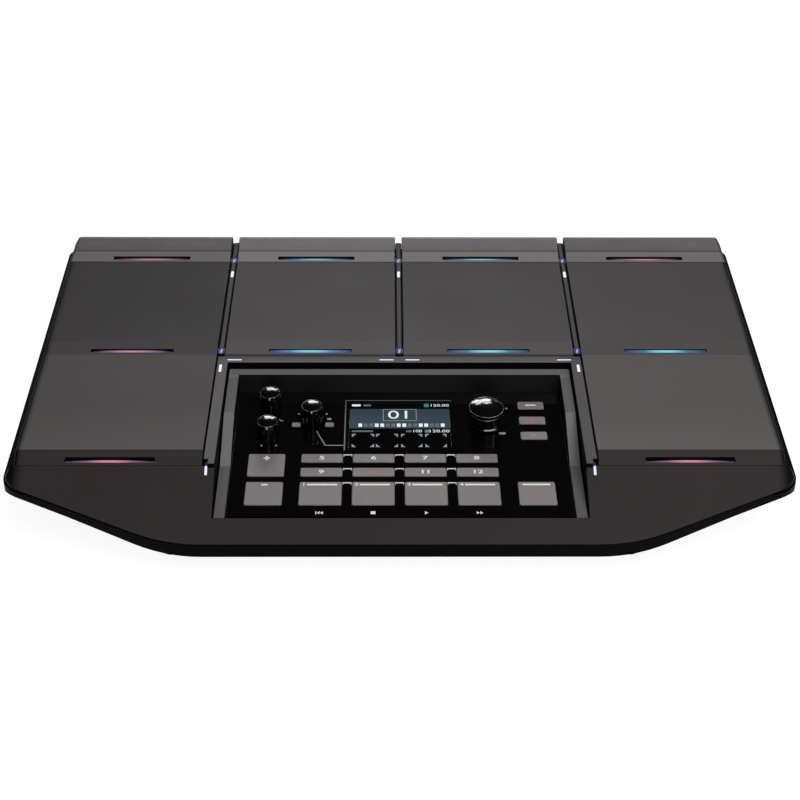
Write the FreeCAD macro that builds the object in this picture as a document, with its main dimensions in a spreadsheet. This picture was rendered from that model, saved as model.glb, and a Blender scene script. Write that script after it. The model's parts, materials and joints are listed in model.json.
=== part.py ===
import FreeCAD, Part
import Sketcher
import math
import os

# Percussion and sampler pad with ten drum pads round a sunken control bay.
# Frame: millimetres, +X to the player's right, +Y away from the player, +Z up.
# The origin is the middle of the outline, on the surface that the feet stand on.
# The pads, the frame and the control panel share one sloping frame: x across, v up the slope towards
# the rear, w square to the pads. Its origin is the middle of the front crease of the two front pads.

SIZES = {
    # overall
    "overall_width": 480.0,
    "case_depth": 306.0,
    "tilt_angle": 7.0,
    "pad_plane_height": 54.0,
    "front_reach": 56.0,
    # plan outline of the rim
    "front_half_width": 138.3,
    "diagonal_depth": 34.9,
    "side_corner_radius": 18.0,
    "front_corner_radius": 125.0,
    "rear_corner_radius": 10.0,
    # lower case
    "rim_drop": 12.0,
    "rim_height": 3.5,
    "rim_front_height": 7.0,
    "lip_width": 0.8,
    "ledge_width": 3.0,
    "case_wall": 3.0,
    "case_floor_height": 5.0,
    "rear_wall_setback": 6.0,
    "chin_angle": 30.0,
    "side_draft": 20.0,
    # top frame
    "frame_sheet": 2.0,
    "seat_gap": 0.2,
    "apron_angle": 22.73,
    "apron_gap": 0.2,
    "divider_drop": 1.0,
    "crossbar_depth": 6.8,
    "strip_front": 11.5,
    "bay_wall": 2.5,
    "bay_wall_drop": 24.0,
    # drum pads
    "column_pitch": 117.0,
    "column_gap": 4.8,
    "divider_gap": 0.7,
    "side_margin": 6.5,
    "row_gap": 0.6,
    "front_row_depth": 99.7,
    "middle_row_depth": 111.8,
    "rear_row_depth": 28.5,
    "front_facet": 10.1,
    "middle_facet": 13.0,
    "rear_facet": 11.0,
    "middle_step": 1.2,
    "middle_facet_drop": 1.4,
    "rear_crease_height": 3.4,
    "rear_ridge_height": 6.0,
    "rear_ridge_setback": 4.5,
    "rear_end_lean": 3.6,
    "pad_skin": 4.0,
    "pad_wall": 3.0,
    "pad_edge_chamfer": 0.4,
    "pad_side_round": 2.2,
    "pad_travel": 0.8,
    "slot_length": 54.5,
    "slot_opening": 3.4,
    "slot_setback": 1.8,
    "light_bar_gap": 0.4,
    "light_bar_drop": 1.3,
    "sensor_thickness": 0.6,
    "cushion_margin": 8.0,
    # control bay and its bezel
    "bay_half_width": 112.1,
    "bay_rear": 92.6,
    "bezel_gap": 1.2,
    "bezel_rail": 6.4,
    "bezel_height": 12.0,
    "bezel_flat_end": 45.0,
    "bezel_ramp_end": 4.7,
    "bezel_rear_slope": 3.3,
    "bezel_shelf": 6.0,
    "bezel_flange": 2.0,
    # control panel, measured from its front edge
    "panel_drop": 18.0,
    "panel_depth": 122.9,
    "panel_front": 41.6,
    "panel_thickness": 2.5,
    "panel_gap": 0.6,
    "display_width": 64.2,
    "display_depth": 46.9,
    "display_centre": 88.75,
    # buttons
    "button_rise": 0.5,
    "button_gap": 0.25,
    "button_flange": 0.9,
    "button_travel": 0.4,
    "button_corner": 0.8,
    "button_brim": 0.3,
    "button_pitch": 31.95,
    "button_width": 25.7,
    "side_button_width": 22.6,
    "side_button_centre": 82.6,
    "first_row_edge": 10.75,
    "key_depth": 21.4,
    "strip_button_depth": 8.0,
    "button_row_gap": 5.5,
    "menu_button_width": 16.8,
    "menu_button_depth": 7.6,
    "menu_button_centre": 84.6,
    "menu_button_first": 77.8,
    "menu_button_pitch": 15.7,
    "page_button_width": 5.6,
    "page_button_depth": 4.2,
    "page_button_centre": 89.2,
    "page_button_left": 66.0,
    "page_button_right": 44.8,
    "stem_width": 3.0,
    # rotary controls
    "knob_radius": 6.25,
    "knob_height": 14.5,
    "knob_lift": 0.6,
    "knob_dome": 1.7,
    "knob_skirt": 6.9,
    "flute_count": 16,
    "flute_depth": 0.5,
    "flute_height": 9.5,
    "knob_column": 83.0,
    "volume_knob_row": 105.6,
    "phones_knob_row": 75.7,
    "value_knob_column": 55.7,
    "value_knob_row": 91.8,
    "spindle_radius": 3.0,
    "running_gap": 0.05,
    "dial_radius": 10.9,
    "dial_height": 15.0,
    "dial_dome": 2.6,
    "dial_lift": 1.0,
    "dial_travel": 0.5,
    "dial_column": 54.8,
    "dial_row": 89.9,
    "dial_sleeve": 1.0,
    # boards behind the panel
    "panel_board_drop": 29.0,
    "board_thickness": 1.6,
    "switch_size": 6.0,
    "switch_height": 3.2,
    "control_body": 11.0,
    "control_body_height": 6.0,
    # rear connectors
    "connector_height": 26.0,
    "jack_radius": 3.25,
    "jack_pitch": 30.0,
    "jack_first": -150.0,
    "jack_depth": 28.0,
    "jack_bushing_radius": 5.5,
    "jack_nut_radius": 7.5,
    "mini_jack_radius": 1.8,
    "mini_jack_first": 35.0,
    "mini_jack_pitch": 18.0,
    "usb_place": 80.0,
    "inlet_place": 150.0,
    "inlet_radius": 2.85,
    "power_place": 118.0,
    "power_width": 10.0,
    "power_height": 7.0,
    "power_travel": 2.0,
    # feet, screws and stand inserts
    "foot_radius": 9.0,
    "foot_front_x": 100.0,
    "foot_front_y": -98.0,
    "foot_rear_x": 185.0,
    "foot_rear_y": 116.0,
    "screw_radius": 1.5,
    "screw_head_radius": 3.4,
    "screw_head_height": 2.4,
    "screw_bite": 10.0,
    "insert_radius": 2.5,
    "insert_wall": 1.6,
    "insert_length": 12.0,
    "insert_spacing_x": 100.0,
    "insert_spacing_y": 60.0,
    "insert_centre_y": -30.0,
}

REACH = 400.0

doc = FreeCAD.newDocument("drum_machine")
sheet = doc.addObject("Spreadsheet::Sheet", "Sizes")
for row, (alias, number) in enumerate(SIZES.items(), start=1):
    sheet.set("A%d" % row, alias)
    sheet.set("B%d" % row, str(number))
    sheet.setAlias("B%d" % row, alias)
doc.recompute()


class Size:
    """A length or angle with its value and the formula, in the sheet's names, that gives it."""

    def __init__(self, value, text):
        self.value = float(value)
        self.text = text

    def __add__(self, other):
        other = as_size(other)
        return Size(self.value + other.value, "(%s + %s)" % (self.text, other.text))

    def __radd__(self, other):
        return as_size(other) + self

    def __sub__(self, other):
        other = as_size(other)
        return Size(self.value - other.value, "(%s - %s)" % (self.text, other.text))

    def __rsub__(self, other):
        return as_size(other) - self

    def __mul__(self, other):
        other = as_size(other)
        return Size(self.value * other.value, "(%s * %s)" % (self.text, other.text))

    def __rmul__(self, other):
        return as_size(other) * self

    def __truediv__(self, other):
        other = as_size(other)
        return Size(self.value / other.value, "(%s / %s)" % (self.text, other.text))

    def __neg__(self):
        return Size(-self.value, "(0 - %s)" % self.text)


def as_size(number):
    if isinstance(number, Size):
        return number
    if number < 0:
        return Size(number, "(0 - %.6f)" % -number)
    return Size(number, "%.6f" % number)


def tangent(angle):
    return Size(math.tan(math.radians(angle.value)), "tan(%s * 1 deg)" % angle.text)


def cosine(angle):
    return Size(math.cos(math.radians(angle.value)), "cos(%s * 1 deg)" % angle.text)


def sine(angle):
    return Size(math.sin(math.radians(angle.value)), "sin(%s * 1 deg)" % angle.text)


def root(number):
    return Size(math.sqrt(number.value), "sqrt(%s)" % number.text)


class Driving:
    """The sheet's cells by name, so that S.pad_wall is the size in the cell pad_wall."""


S = Driving()
for alias, number in SIZES.items():
    setattr(S, alias, Size(number, "Sizes." + alias))

ZERO = as_size(0.0)
finished = []


# Helpers that make sketches, features and primitives with bound sizes

def bind(thing, name, value):
    thing.setExpression(name, as_size(value).text)


def vector(x, y, z=0.0):
    return FreeCAD.Vector(as_size(x).value, as_size(y).value, as_size(z).value)


HALF_WIDTH = S.overall_width / 2
PLANE_Y = S.front_reach - S.case_depth / 2


def sloped_point(x, v, w):
    """World place of a point of the sloping frame."""
    y = PLANE_Y + v * cosine(S.tilt_angle) - w * sine(S.tilt_angle)
    z = S.pad_plane_height + v * sine(S.tilt_angle) + w * cosine(S.tilt_angle)
    return as_size(x), y, z


def put_on_slope(thing, x=ZERO, v=ZERO, w=ZERO):
    x, y, z = sloped_point(x, as_size(v), as_size(w))
    turn = FreeCAD.Rotation(FreeCAD.Vector(1, 0, 0), S.tilt_angle.value)
    thing.Placement = FreeCAD.Placement(vector(x, y, z), turn)
    bind(thing, "Placement.Base.x", x)
    bind(thing, "Placement.Base.y", y)
    bind(thing, "Placement.Base.z", z)
    bind(thing, "Placement.Rotation.Angle", S.tilt_angle)
    return thing


def put_at(thing, x, y, z, turn=None):
    thing.Placement = FreeCAD.Placement(vector(x, y, z), turn or FreeCAD.Rotation())
    bind(thing, "Placement.Base.x", x)
    bind(thing, "Placement.Base.y", y)
    bind(thing, "Placement.Base.z", z)
    return thing


def finish(thing, label):
    thing.Label = label
    finished.append(thing)
    return thing


def new_body(name):
    return doc.addObject("PartDesign::Body", name)


def origin_plane(body, role):
    for feature in body.Origin.OriginFeatures:
        if feature.Role == role:
            return feature
    raise ValueError("no plane " + role)


def new_sketch(body, name, plane, offset):
    sketch = body.newObject("Sketcher::SketchObject", name)
    sketch.AttachmentSupport = [(origin_plane(body, plane), "")]
    sketch.MapMode = "FlatFace"
    offset = as_size(offset)
    sketch.AttachmentOffset = FreeCAD.Placement(FreeCAD.Vector(0, 0, offset.value), FreeCAD.Rotation())
    bind(sketch, "AttachmentOffset.Base.z", offset)
    return sketch


def hold(sketch, kind, place, geometry, position, value):
    """Dimension from the sketch's origin to a point, bound to the sheet."""
    value = as_size(value)
    constraint = Sketcher.Constraint(kind, -1, 1, geometry, position, value.value)
    index = sketch.addConstraint(constraint)
    sketch.renameConstraint(index, place)
    bind(sketch, "Constraints." + place, value)


def add_circle(sketch, centre, radius):
    radius = as_size(radius)
    circle = Part.Circle(vector(*centre), FreeCAD.Vector(0, 0, 1), radius.value)
    index = sketch.addGeometry(circle)
    hold(sketch, "DistanceX", "cx%d" % index, index, 3, centre[0])
    hold(sketch, "DistanceY", "cy%d" % index, index, 3, centre[1])
    radius_index = sketch.addConstraint(Sketcher.Constraint("Radius", index, radius.value))
    sketch.renameConstraint(radius_index, "cr%d" % index)
    bind(sketch, "Constraints.cr%d" % index, radius)


def add_outline(sketch, points, radii=None):
    """Closed outline through the corner points; a corner with a radius is an arc tangent to its sides."""
    count = len(points)
    radii = radii or [None] * count
    corners = [vector(*point) for point in points]
    trims = []
    for i in range(count):
        back = (corners[i - 1] - corners[i]).normalize()
        ahead = (corners[(i + 1) % count] - corners[i]).normalize()
        if radii[i] is None:
            trims.append((corners[i], corners[i], None))
            continue
        half = back.getAngle(ahead) / 2
        length = as_size(radii[i]).value / math.tan(half)
        middle = (back + ahead).normalize()
        centre = corners[i] + middle * (as_size(radii[i]).value / math.sin(half))
        trims.append((corners[i] + back * length, corners[i] + ahead * length, centre))
    lines = []
    for i in range(count):
        start = trims[i][1]
        end = trims[(i + 1) % count][0]
        lines.append(sketch.addGeometry(Part.LineSegment(start, end)))
    for i in range(count):
        before = lines[i - 1]
        after = lines[i]
        tag = "%d_%d" % (lines[0], i)
        if radii[i] is None:
            sketch.addConstraint(Sketcher.Constraint("Coincident", before, 2, after, 1))
            hold(sketch, "DistanceX", "x" + tag, after, 1, points[i][0])
            hold(sketch, "DistanceY", "y" + tag, after, 1, points[i][1])
            continue
        start, end, centre = trims[i]
        first = start - centre
        last = end - centre
        leftward = first.cross(last).z > 0
        if not leftward:
            first, last = last, first
        radius = as_size(radii[i])
        circle = Part.Circle(centre, FreeCAD.Vector(0, 0, 1), radius.value)
        sweep_start = math.atan2(first.y, first.x)
        sweep_end = math.atan2(last.y, last.x)
        if sweep_end < sweep_start:
            sweep_end += 2 * math.pi
        arc = sketch.addGeometry(Part.ArcOfCircle(circle, sweep_start, sweep_end))
        corner = sketch.addGeometry(Part.Point(corners[i]), True)
        enter, leave = (1, 2) if leftward else (2, 1)
        sketch.addConstraint(Sketcher.Constraint("Tangent", before, 2, arc, enter))
        sketch.addConstraint(Sketcher.Constraint("Tangent", arc, leave, after, 1))
        sketch.addConstraint(Sketcher.Constraint("PointOnObject", corner, 1, before))
        sketch.addConstraint(Sketcher.Constraint("PointOnObject", corner, 1, after))
        hold(sketch, "DistanceX", "x" + tag, corner, 1, points[i][0])
        hold(sketch, "DistanceY", "y" + tag, corner, 1, points[i][1])
        index = sketch.addConstraint(Sketcher.Constraint("Radius", arc, radius.value))
        sketch.renameConstraint(index, "r" + tag)
        bind(sketch, "Constraints.r" + tag, radius)


def rectangle(low_x, high_x, low_y, high_y):
    return [(low_x, low_y), (high_x, low_y), (high_x, high_y), (low_x, high_y)]


def extrude(body, sketch, length, name, cut=False, along_normal=True):
    kind = "PartDesign::Pocket" if cut else "PartDesign::Pad"
    feature = body.newObject(kind, name)
    feature.Profile = sketch
    bind(feature, "Length", length)
    feature.Reversed = cut if along_normal else not cut
    sketch.Visibility = False
    return feature


def flat_feature(body, name, plane, offset, length, points, radii=None, cut=False):
    """Outline in one of the body's planes, at an offset, run along the plane's normal."""
    sketch = new_sketch(body, name + "_sketch", plane, offset)
    add_outline(sketch, points, radii)
    return extrude(body, sketch, length, name, cut)


def edge_names(feature, wanted):
    doc.recompute([feature])
    edges = feature.Shape.Edges
    return ["Edge%d" % (i + 1) for i, edge in enumerate(edges) if wanted(edge)]


def round_edges(body, feature, name, radius, wanted, kind="PartDesign::Fillet"):
    names = edge_names(feature, wanted)
    rounded = body.newObject(kind, name)
    rounded.Base = (feature, names)
    bind(rounded, "Radius" if kind.endswith("Fillet") else "Size", radius)
    return rounded


def box(name, low, high):
    """Box from its low corner to its high corner."""
    block = doc.addObject("Part::Box", name)
    for side, start, end in zip(("Length", "Width", "Height"), low, high):
        bind(block, side, as_size(end) - start)
    return put_at(block, *low)


def cylinder(name, place, radius, height, along="Z"):
    rod = doc.addObject("Part::Cylinder", name)
    bind(rod, "Radius", radius)
    bind(rod, "Height", height)
    turn = FreeCAD.Rotation(FreeCAD.Vector(1, 0, 0), -90) if along == "Y" else None
    return put_at(rod, place[0], place[1], place[2], turn)


def hexagon(name, place, radius, height):
    """Hexagonal nut whose axis runs towards the rear."""
    nut = doc.addObject("Part::Prism", name)
    nut.Polygon = 6
    bind(nut, "Circumradius", radius)
    bind(nut, "Height", height)
    return put_at(nut, place[0], place[1], place[2], FreeCAD.Rotation(FreeCAD.Vector(1, 0, 0), -90))


def post(name, x, y, low, half, high):
    """Upright square post round a place, from its low end to its high end."""
    half = as_size(half)
    return box(name, (x - half, y - half, low), (x + half, y + half, high))


def combine(kind, name, pieces):
    result = doc.addObject(kind, name)
    if kind == "Part::Compound":
        result.Links = pieces
    else:
        result.Shapes = pieces
    for piece in pieces:
        piece.Visibility = False
    return result


def fuse(name, pieces):
    return combine("Part::MultiFuse", name, pieces)


def common(name, pieces):
    return combine("Part::MultiCommon", name, pieces)


def group(name, pieces):
    return combine("Part::Compound", name, pieces)


def cut(name, base, tool):
    result = doc.addObject("Part::Cut", name)
    result.Base = base
    result.Tool = tool
    return result


# Places that several pieces share

SLOPE = tangent(S.apron_angle)
FRAME_TOP = -S.rim_drop
FRAME_BOTTOM = -(S.rim_drop + S.frame_sheet)
REAR_LIMIT = S.case_depth
FRONT_EDGE = -S.front_facet
MIDDLE_FRONT = S.front_row_depth
REAR_FRONT = S.front_row_depth + S.middle_row_depth
REAR_END = REAR_FRONT + S.rear_row_depth
PAD_OUTER = HALF_WIDTH - S.side_margin
PAD_BOTTOM = FRAME_TOP + S.pad_travel + 0.4
PANEL_TOP = -S.panel_drop
PANEL_UNDER = PANEL_TOP - S.panel_thickness
PANEL_EDGE = -S.panel_front
PANEL_REAR = PANEL_EDGE + S.panel_depth
BAY_FRONT = PANEL_EDGE - 1.0
BEZEL_HALF = S.bay_half_width - S.bezel_gap
PANEL_HALF = BEZEL_HALF - S.bezel_rail - S.panel_gap
BOARD_TOP = -S.panel_board_drop
REAR_WALL = S.case_depth / 2 - S.rear_wall_setback
DIVIDER_HALF = S.column_gap / 2 - S.divider_gap


def apron_height(v):
    return v * SLOPE


def plan_outline(inset):
    """Corners of the rim's outline seen from above, moved inwards by inset."""
    front = -S.case_depth / 2
    rise = S.diagonal_depth / (HALF_WIDTH - S.front_half_width)
    slant = root(rise * rise + 1)
    side_y = front + S.diagonal_depth + (slant - rise) * inset
    front_x = S.front_half_width - (slant - 1) / rise * inset
    rear_y = S.case_depth / 2 - inset
    side_x = HALF_WIDTH - inset
    return [(-front_x, front + inset), (front_x, front + inset), (side_x, side_y), (side_x, rear_y),
            (-side_x, rear_y), (-side_x, side_y)]


def plan_prism(name, inset):
    """Upright block with the rim's rounded outline."""
    inset = as_size(inset)
    body = new_body(name)
    front = S.front_corner_radius - inset
    side = S.side_corner_radius - inset
    rear = S.rear_corner_radius - inset
    radii = [front, front, side, rear, rear, side]
    flat_feature(body, name + "_block", "XY_Plane", ZERO, S.case_depth, plan_outline(inset), radii)
    return body


def side_profile(name, points, half=None):
    """Block across the whole width with the given outline in the sloping frame's v and w."""
    half = as_size(half or HALF_WIDTH + 20)
    body = new_body(name)
    flat_feature(body, name + "_block", "YZ_Plane", -half, half * 2, points)
    return put_on_slope(body)


# Lower case: a shell with a rim, whose front and corners are cut away underneath

def slope_cutter(name, point, along, inward, angle, lift):
    """Big block whose top face passes through point, runs along a rim edge and falls inwards."""
    along = FreeCAD.Vector(along).normalize()
    fall = FreeCAD.Vector(inward).normalize() * math.cos(math.radians(angle))
    fall = fall + FreeCAD.Vector(0, 0, -math.sin(math.radians(angle)))
    up = along.cross(fall).normalize()
    if up.z < 0:
        up = up * -1
    across = up.cross(along).normalize()
    turn = FreeCAD.Rotation(along, across, up, "XYZ")
    block = doc.addObject("Part::Box", name)
    block.Length = 2 * REACH
    block.Width = 2 * REACH
    block.Height = REACH
    corner = point + up * lift - along * REACH - across * REACH - up * REACH
    block.Placement = FreeCAD.Placement(corner, turn)
    return block


def under_form(name, lift):
    """Body under the rim: block with a sloping chin along the front and the two diagonals."""
    front_y = -S.case_depth.value / 2
    floor = S.case_floor_height + lift
    block = box(name + "_block", (-HALF_WIDTH, -S.case_depth / 2, floor),
                (HALF_WIDTH, REAR_WALL - lift, REAR_LIMIT))
    tools = []
    tilt = math.radians(S.tilt_angle.value)
    chin_v = (-S.front_reach) * 1.06
    chin_z = sloped_point(ZERO, chin_v, apron_height(chin_v) - S.rim_front_height * 0.9)[2].value
    chin_point = FreeCAD.Vector(0, front_y, chin_z)
    tools.append(slope_cutter(name + "_chin", chin_point, (1, 0, 0), (0, 1, 0), S.chin_angle.value, lift))
    diagonal_v = (S.diagonal_depth - S.front_reach) / cosine(S.tilt_angle) - 2
    high_z = sloped_point(ZERO, diagonal_v, FRAME_TOP - S.rim_height)[2].value + 1.8
    low_z = sloped_point(ZERO, chin_v, apron_height(chin_v) - S.rim_front_height)[2].value + 1.2
    for side, hand in (("left", -1), ("right", 1)):
        high = FreeCAD.Vector(hand * HALF_WIDTH.value, front_y + S.diagonal_depth.value, high_z)
        low = FreeCAD.Vector(hand * S.front_half_width.value, front_y, low_z)
        along = high - low
        inward = FreeCAD.Vector(-hand * abs(along.y), abs(along.x), 0)
        cutter = slope_cutter(name + "_diagonal_" + side, high, along, inward, S.chin_angle.value, lift)
        tools.append(cutter)
        edge = FreeCAD.Vector(hand * (HALF_WIDTH - S.lip_width).value, PLANE_Y.value,
                              sloped_point(ZERO, ZERO, FRAME_TOP - S.rim_height)[2].value)
        steep = 90 - S.side_draft.value
        along = FreeCAD.Vector(0, math.cos(tilt), math.sin(tilt))
        tools.append(slope_cutter(name + "_side_" + side, edge, along, (-hand, 0, 0), steep, lift))
    return cut(name, block, fuse(name + "_cutters", tools))


def screw_places():
    return [(200.0, 122.0), (196.0, 4.0), (140.0, -98.0)]


def mirrored(places):
    return [(hand * x, y) for x, y in places for hand in (-1, 1)]


def deck_underside(y):
    """World height of the top frame's sheet, half way through it, over a place y."""
    rise = (as_size(y) - PLANE_Y) * tangent(S.tilt_angle)
    return S.pad_plane_height + rise - (S.rim_drop + S.frame_sheet * 0.7) / cosine(S.tilt_angle)


SCREWS = mirrored(screw_places())
BOSS_TOP = S.case_floor_height + 6
HEAD_SEAT = S.case_floor_height + S.screw_head_height + 1
INSERTS = [(sx * S.insert_spacing_x / 2, S.insert_centre_y + sy * S.insert_spacing_y / 2)
           for sx in (-1, 1) for sy in (-1, 1)]
JACKS = [S.jack_first + S.jack_pitch * i for i in range(6)]
MINI_JACKS = [S.mini_jack_first + S.mini_jack_pitch * i for i in range(2)]
FEET = [(-S.foot_front_x, S.foot_front_y), (S.foot_front_x, S.foot_front_y),
        (-S.foot_rear_x, S.foot_rear_y), (S.foot_rear_x, S.foot_rear_y)]
MAIN_BOARD = (110.0, 20.0, 104.0, 13.0)
JACK_BOARD = (165.0, 112.0, 143.0)


def build_lower_case():
    knee = FRAME_TOP / SLOPE
    far_front = -S.front_reach * 1.4
    band_points = [
        (far_front, apron_height(far_front)), (knee, FRAME_TOP), (REAR_LIMIT, FRAME_TOP),
        (REAR_LIMIT, FRAME_TOP - S.rim_height), (knee, FRAME_TOP - S.rim_height),
        (-S.front_reach * 1.05, apron_height(-S.front_reach * 1.05) - S.rim_front_height),
        (far_front, apron_height(far_front) - S.rim_front_height * 1.3)]
    band = side_profile("rim_band", band_points)
    outer = common("case_outer", [plan_prism("rim_plan", ZERO),
                                  fuse("case_solid", [band, under_form("under_body", 0.0)])])
    hollow = common("case_hollow", [plan_prism("ledge_plan", S.lip_width + S.ledge_width),
                                    under_form("under_hollow", S.case_wall.value)])
    above_points = [
        (far_front, apron_height(far_front)), (knee, FRAME_TOP), (REAR_LIMIT, FRAME_TOP),
        (REAR_LIMIT, S.case_depth), (far_front, S.case_depth)]
    above = side_profile("above_rim", above_points)
    sheet_drop = S.frame_sheet / cosine(S.apron_angle)
    seat_knee = (FRAME_BOTTOM + sheet_drop) / SLOPE
    seat_points = [
        (far_front, apron_height(far_front) - sheet_drop), (seat_knee, FRAME_BOTTOM),
        (REAR_LIMIT, FRAME_BOTTOM), (REAR_LIMIT, S.case_depth), (far_front, S.case_depth)]
    seat_air = side_profile("above_seat", seat_points)
    seat = common("frame_seat", [plan_prism("lip_plan", S.lip_width), seat_air])
    shell = cut("case_shell", outer, fuse("case_voids", [above, seat, hollow]))

    floor = S.case_floor_height
    floor_top = floor + S.case_wall
    adds = [shell]
    for i, (x, y) in enumerate(SCREWS):
        adds.append(post("screw_boss_%d" % i, x, y, floor, 6.0, BOSS_TOP))
    for i, (x, y) in enumerate(INSERTS):
        half = S.insert_radius + S.insert_wall + 2.0
        adds.append(post("insert_boss_%d" % i, x, y, floor, half, floor + S.insert_length))
    half, y0, y1, z = MAIN_BOARD
    for i, (x, y) in enumerate(mirrored([(half - 5, y0 + 5), (half - 5, y1 - 5)])):
        adds.append(post("board_post_%d" % i, x, y, floor_top - 0.5, 2.5, z))
    half, y0, y1 = JACK_BOARD
    board_bottom = S.connector_height - 7 - S.board_thickness
    for i, (x, y) in enumerate(mirrored([(half - 5, y0 + 5), (half - 80, y0 + 5)])):
        adds.append(post("jack_post_%d" % i, x, y, floor_top - 0.5, 2.5, board_bottom))
    filled = fuse("case_with_bosses", adds)

    tools = []
    for i, (x, y) in enumerate(SCREWS):
        tools.append(cylinder("screw_way_%d" % i, (x, y, floor - 1), S.screw_radius + 0.2,
                              BOSS_TOP - floor + 2))
        tools.append(cylinder("screw_sink_%d" % i, (x, y, floor - 1), S.screw_head_radius + 0.4,
                              HEAD_SEAT - floor + 1))
    for i, (x, y) in enumerate(INSERTS):
        tools.append(cylinder("insert_way_%d" % i, (x, y, floor - 1), S.insert_radius + S.insert_wall,
                              S.insert_length + 2))
    wall_in = REAR_WALL - S.case_wall - 2
    for i, x in enumerate(JACKS):
        tools.append(cylinder("jack_way_%d" % i, (x, wall_in, S.connector_height),
                              S.jack_bushing_radius + 0.2, S.case_wall + 4, "Y"))
    for i, x in enumerate(MINI_JACKS):
        tools.append(cylinder("mini_way_%d" % i, (x, wall_in, S.connector_height), S.mini_jack_radius + 1.5,
                              S.case_wall + 4, "Y"))
    tools.append(cylinder("inlet_way", (S.inlet_place, wall_in, S.connector_height), S.inlet_radius + 2.2,
                          S.case_wall + 4, "Y"))
    tools.append(box("usb_way", (S.usb_place - 5.2, wall_in, S.connector_height - 7.2),
                     (S.usb_place + 5.2, wall_in + S.case_wall + 4, S.connector_height - 2.3)))
    half_power = S.power_width / 2 + 0.3
    half_high = S.power_height / 2 + 0.3
    low = (S.power_place - half_power, wall_in, S.connector_height - half_high)
    high = (S.power_place + half_power, wall_in + S.case_wall + 4, S.connector_height + half_high)
    tools.append(box("power_way", low, high))
    finish(cut("lower_case", filled, fuse("case_holes", tools)), "lower_case")


# Top frame: one moulding with the apron, the deck under the pads, the dividers and the bay walls

def window_boxes():
    """Places of the small light windows: name, x centre, v from, v to, half width, top height."""
    divider_top = S.middle_step - S.divider_drop
    strip_top = -S.divider_drop - 0.5
    windows = []
    for i, x in enumerate((-S.column_pitch, ZERO, S.column_pitch)):
        windows.append(("rear_%d" % i, x, REAR_FRONT - 19, REAR_FRONT - 10.5, 1.1, divider_top))
        windows.append(("notch_%d" % i, x, REAR_FRONT + 0.6, REAR_FRONT + 6.0, 1.1, divider_top))
        windows.append(("step_%d" % i, x, MIDDLE_FRONT + 1.0, MIDDLE_FRONT + 6.5, 1.1, divider_top))
    for i, hand in enumerate((-1, 1)):
        x = (S.column_pitch - 0.6) * hand
        windows.append(("side_%d" % i, x, S.bay_rear - 11.0, S.bay_rear - 2.0, 1.1, strip_top))
        for j, x in enumerate((S.bay_half_width - 4.2, as_size(8.5))):
            v = S.bay_rear + 2.5
            windows.append(("bar_%d_%d" % (i, j), x * hand, v, v + 1.1, 4.6, strip_top))
    return windows


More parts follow.
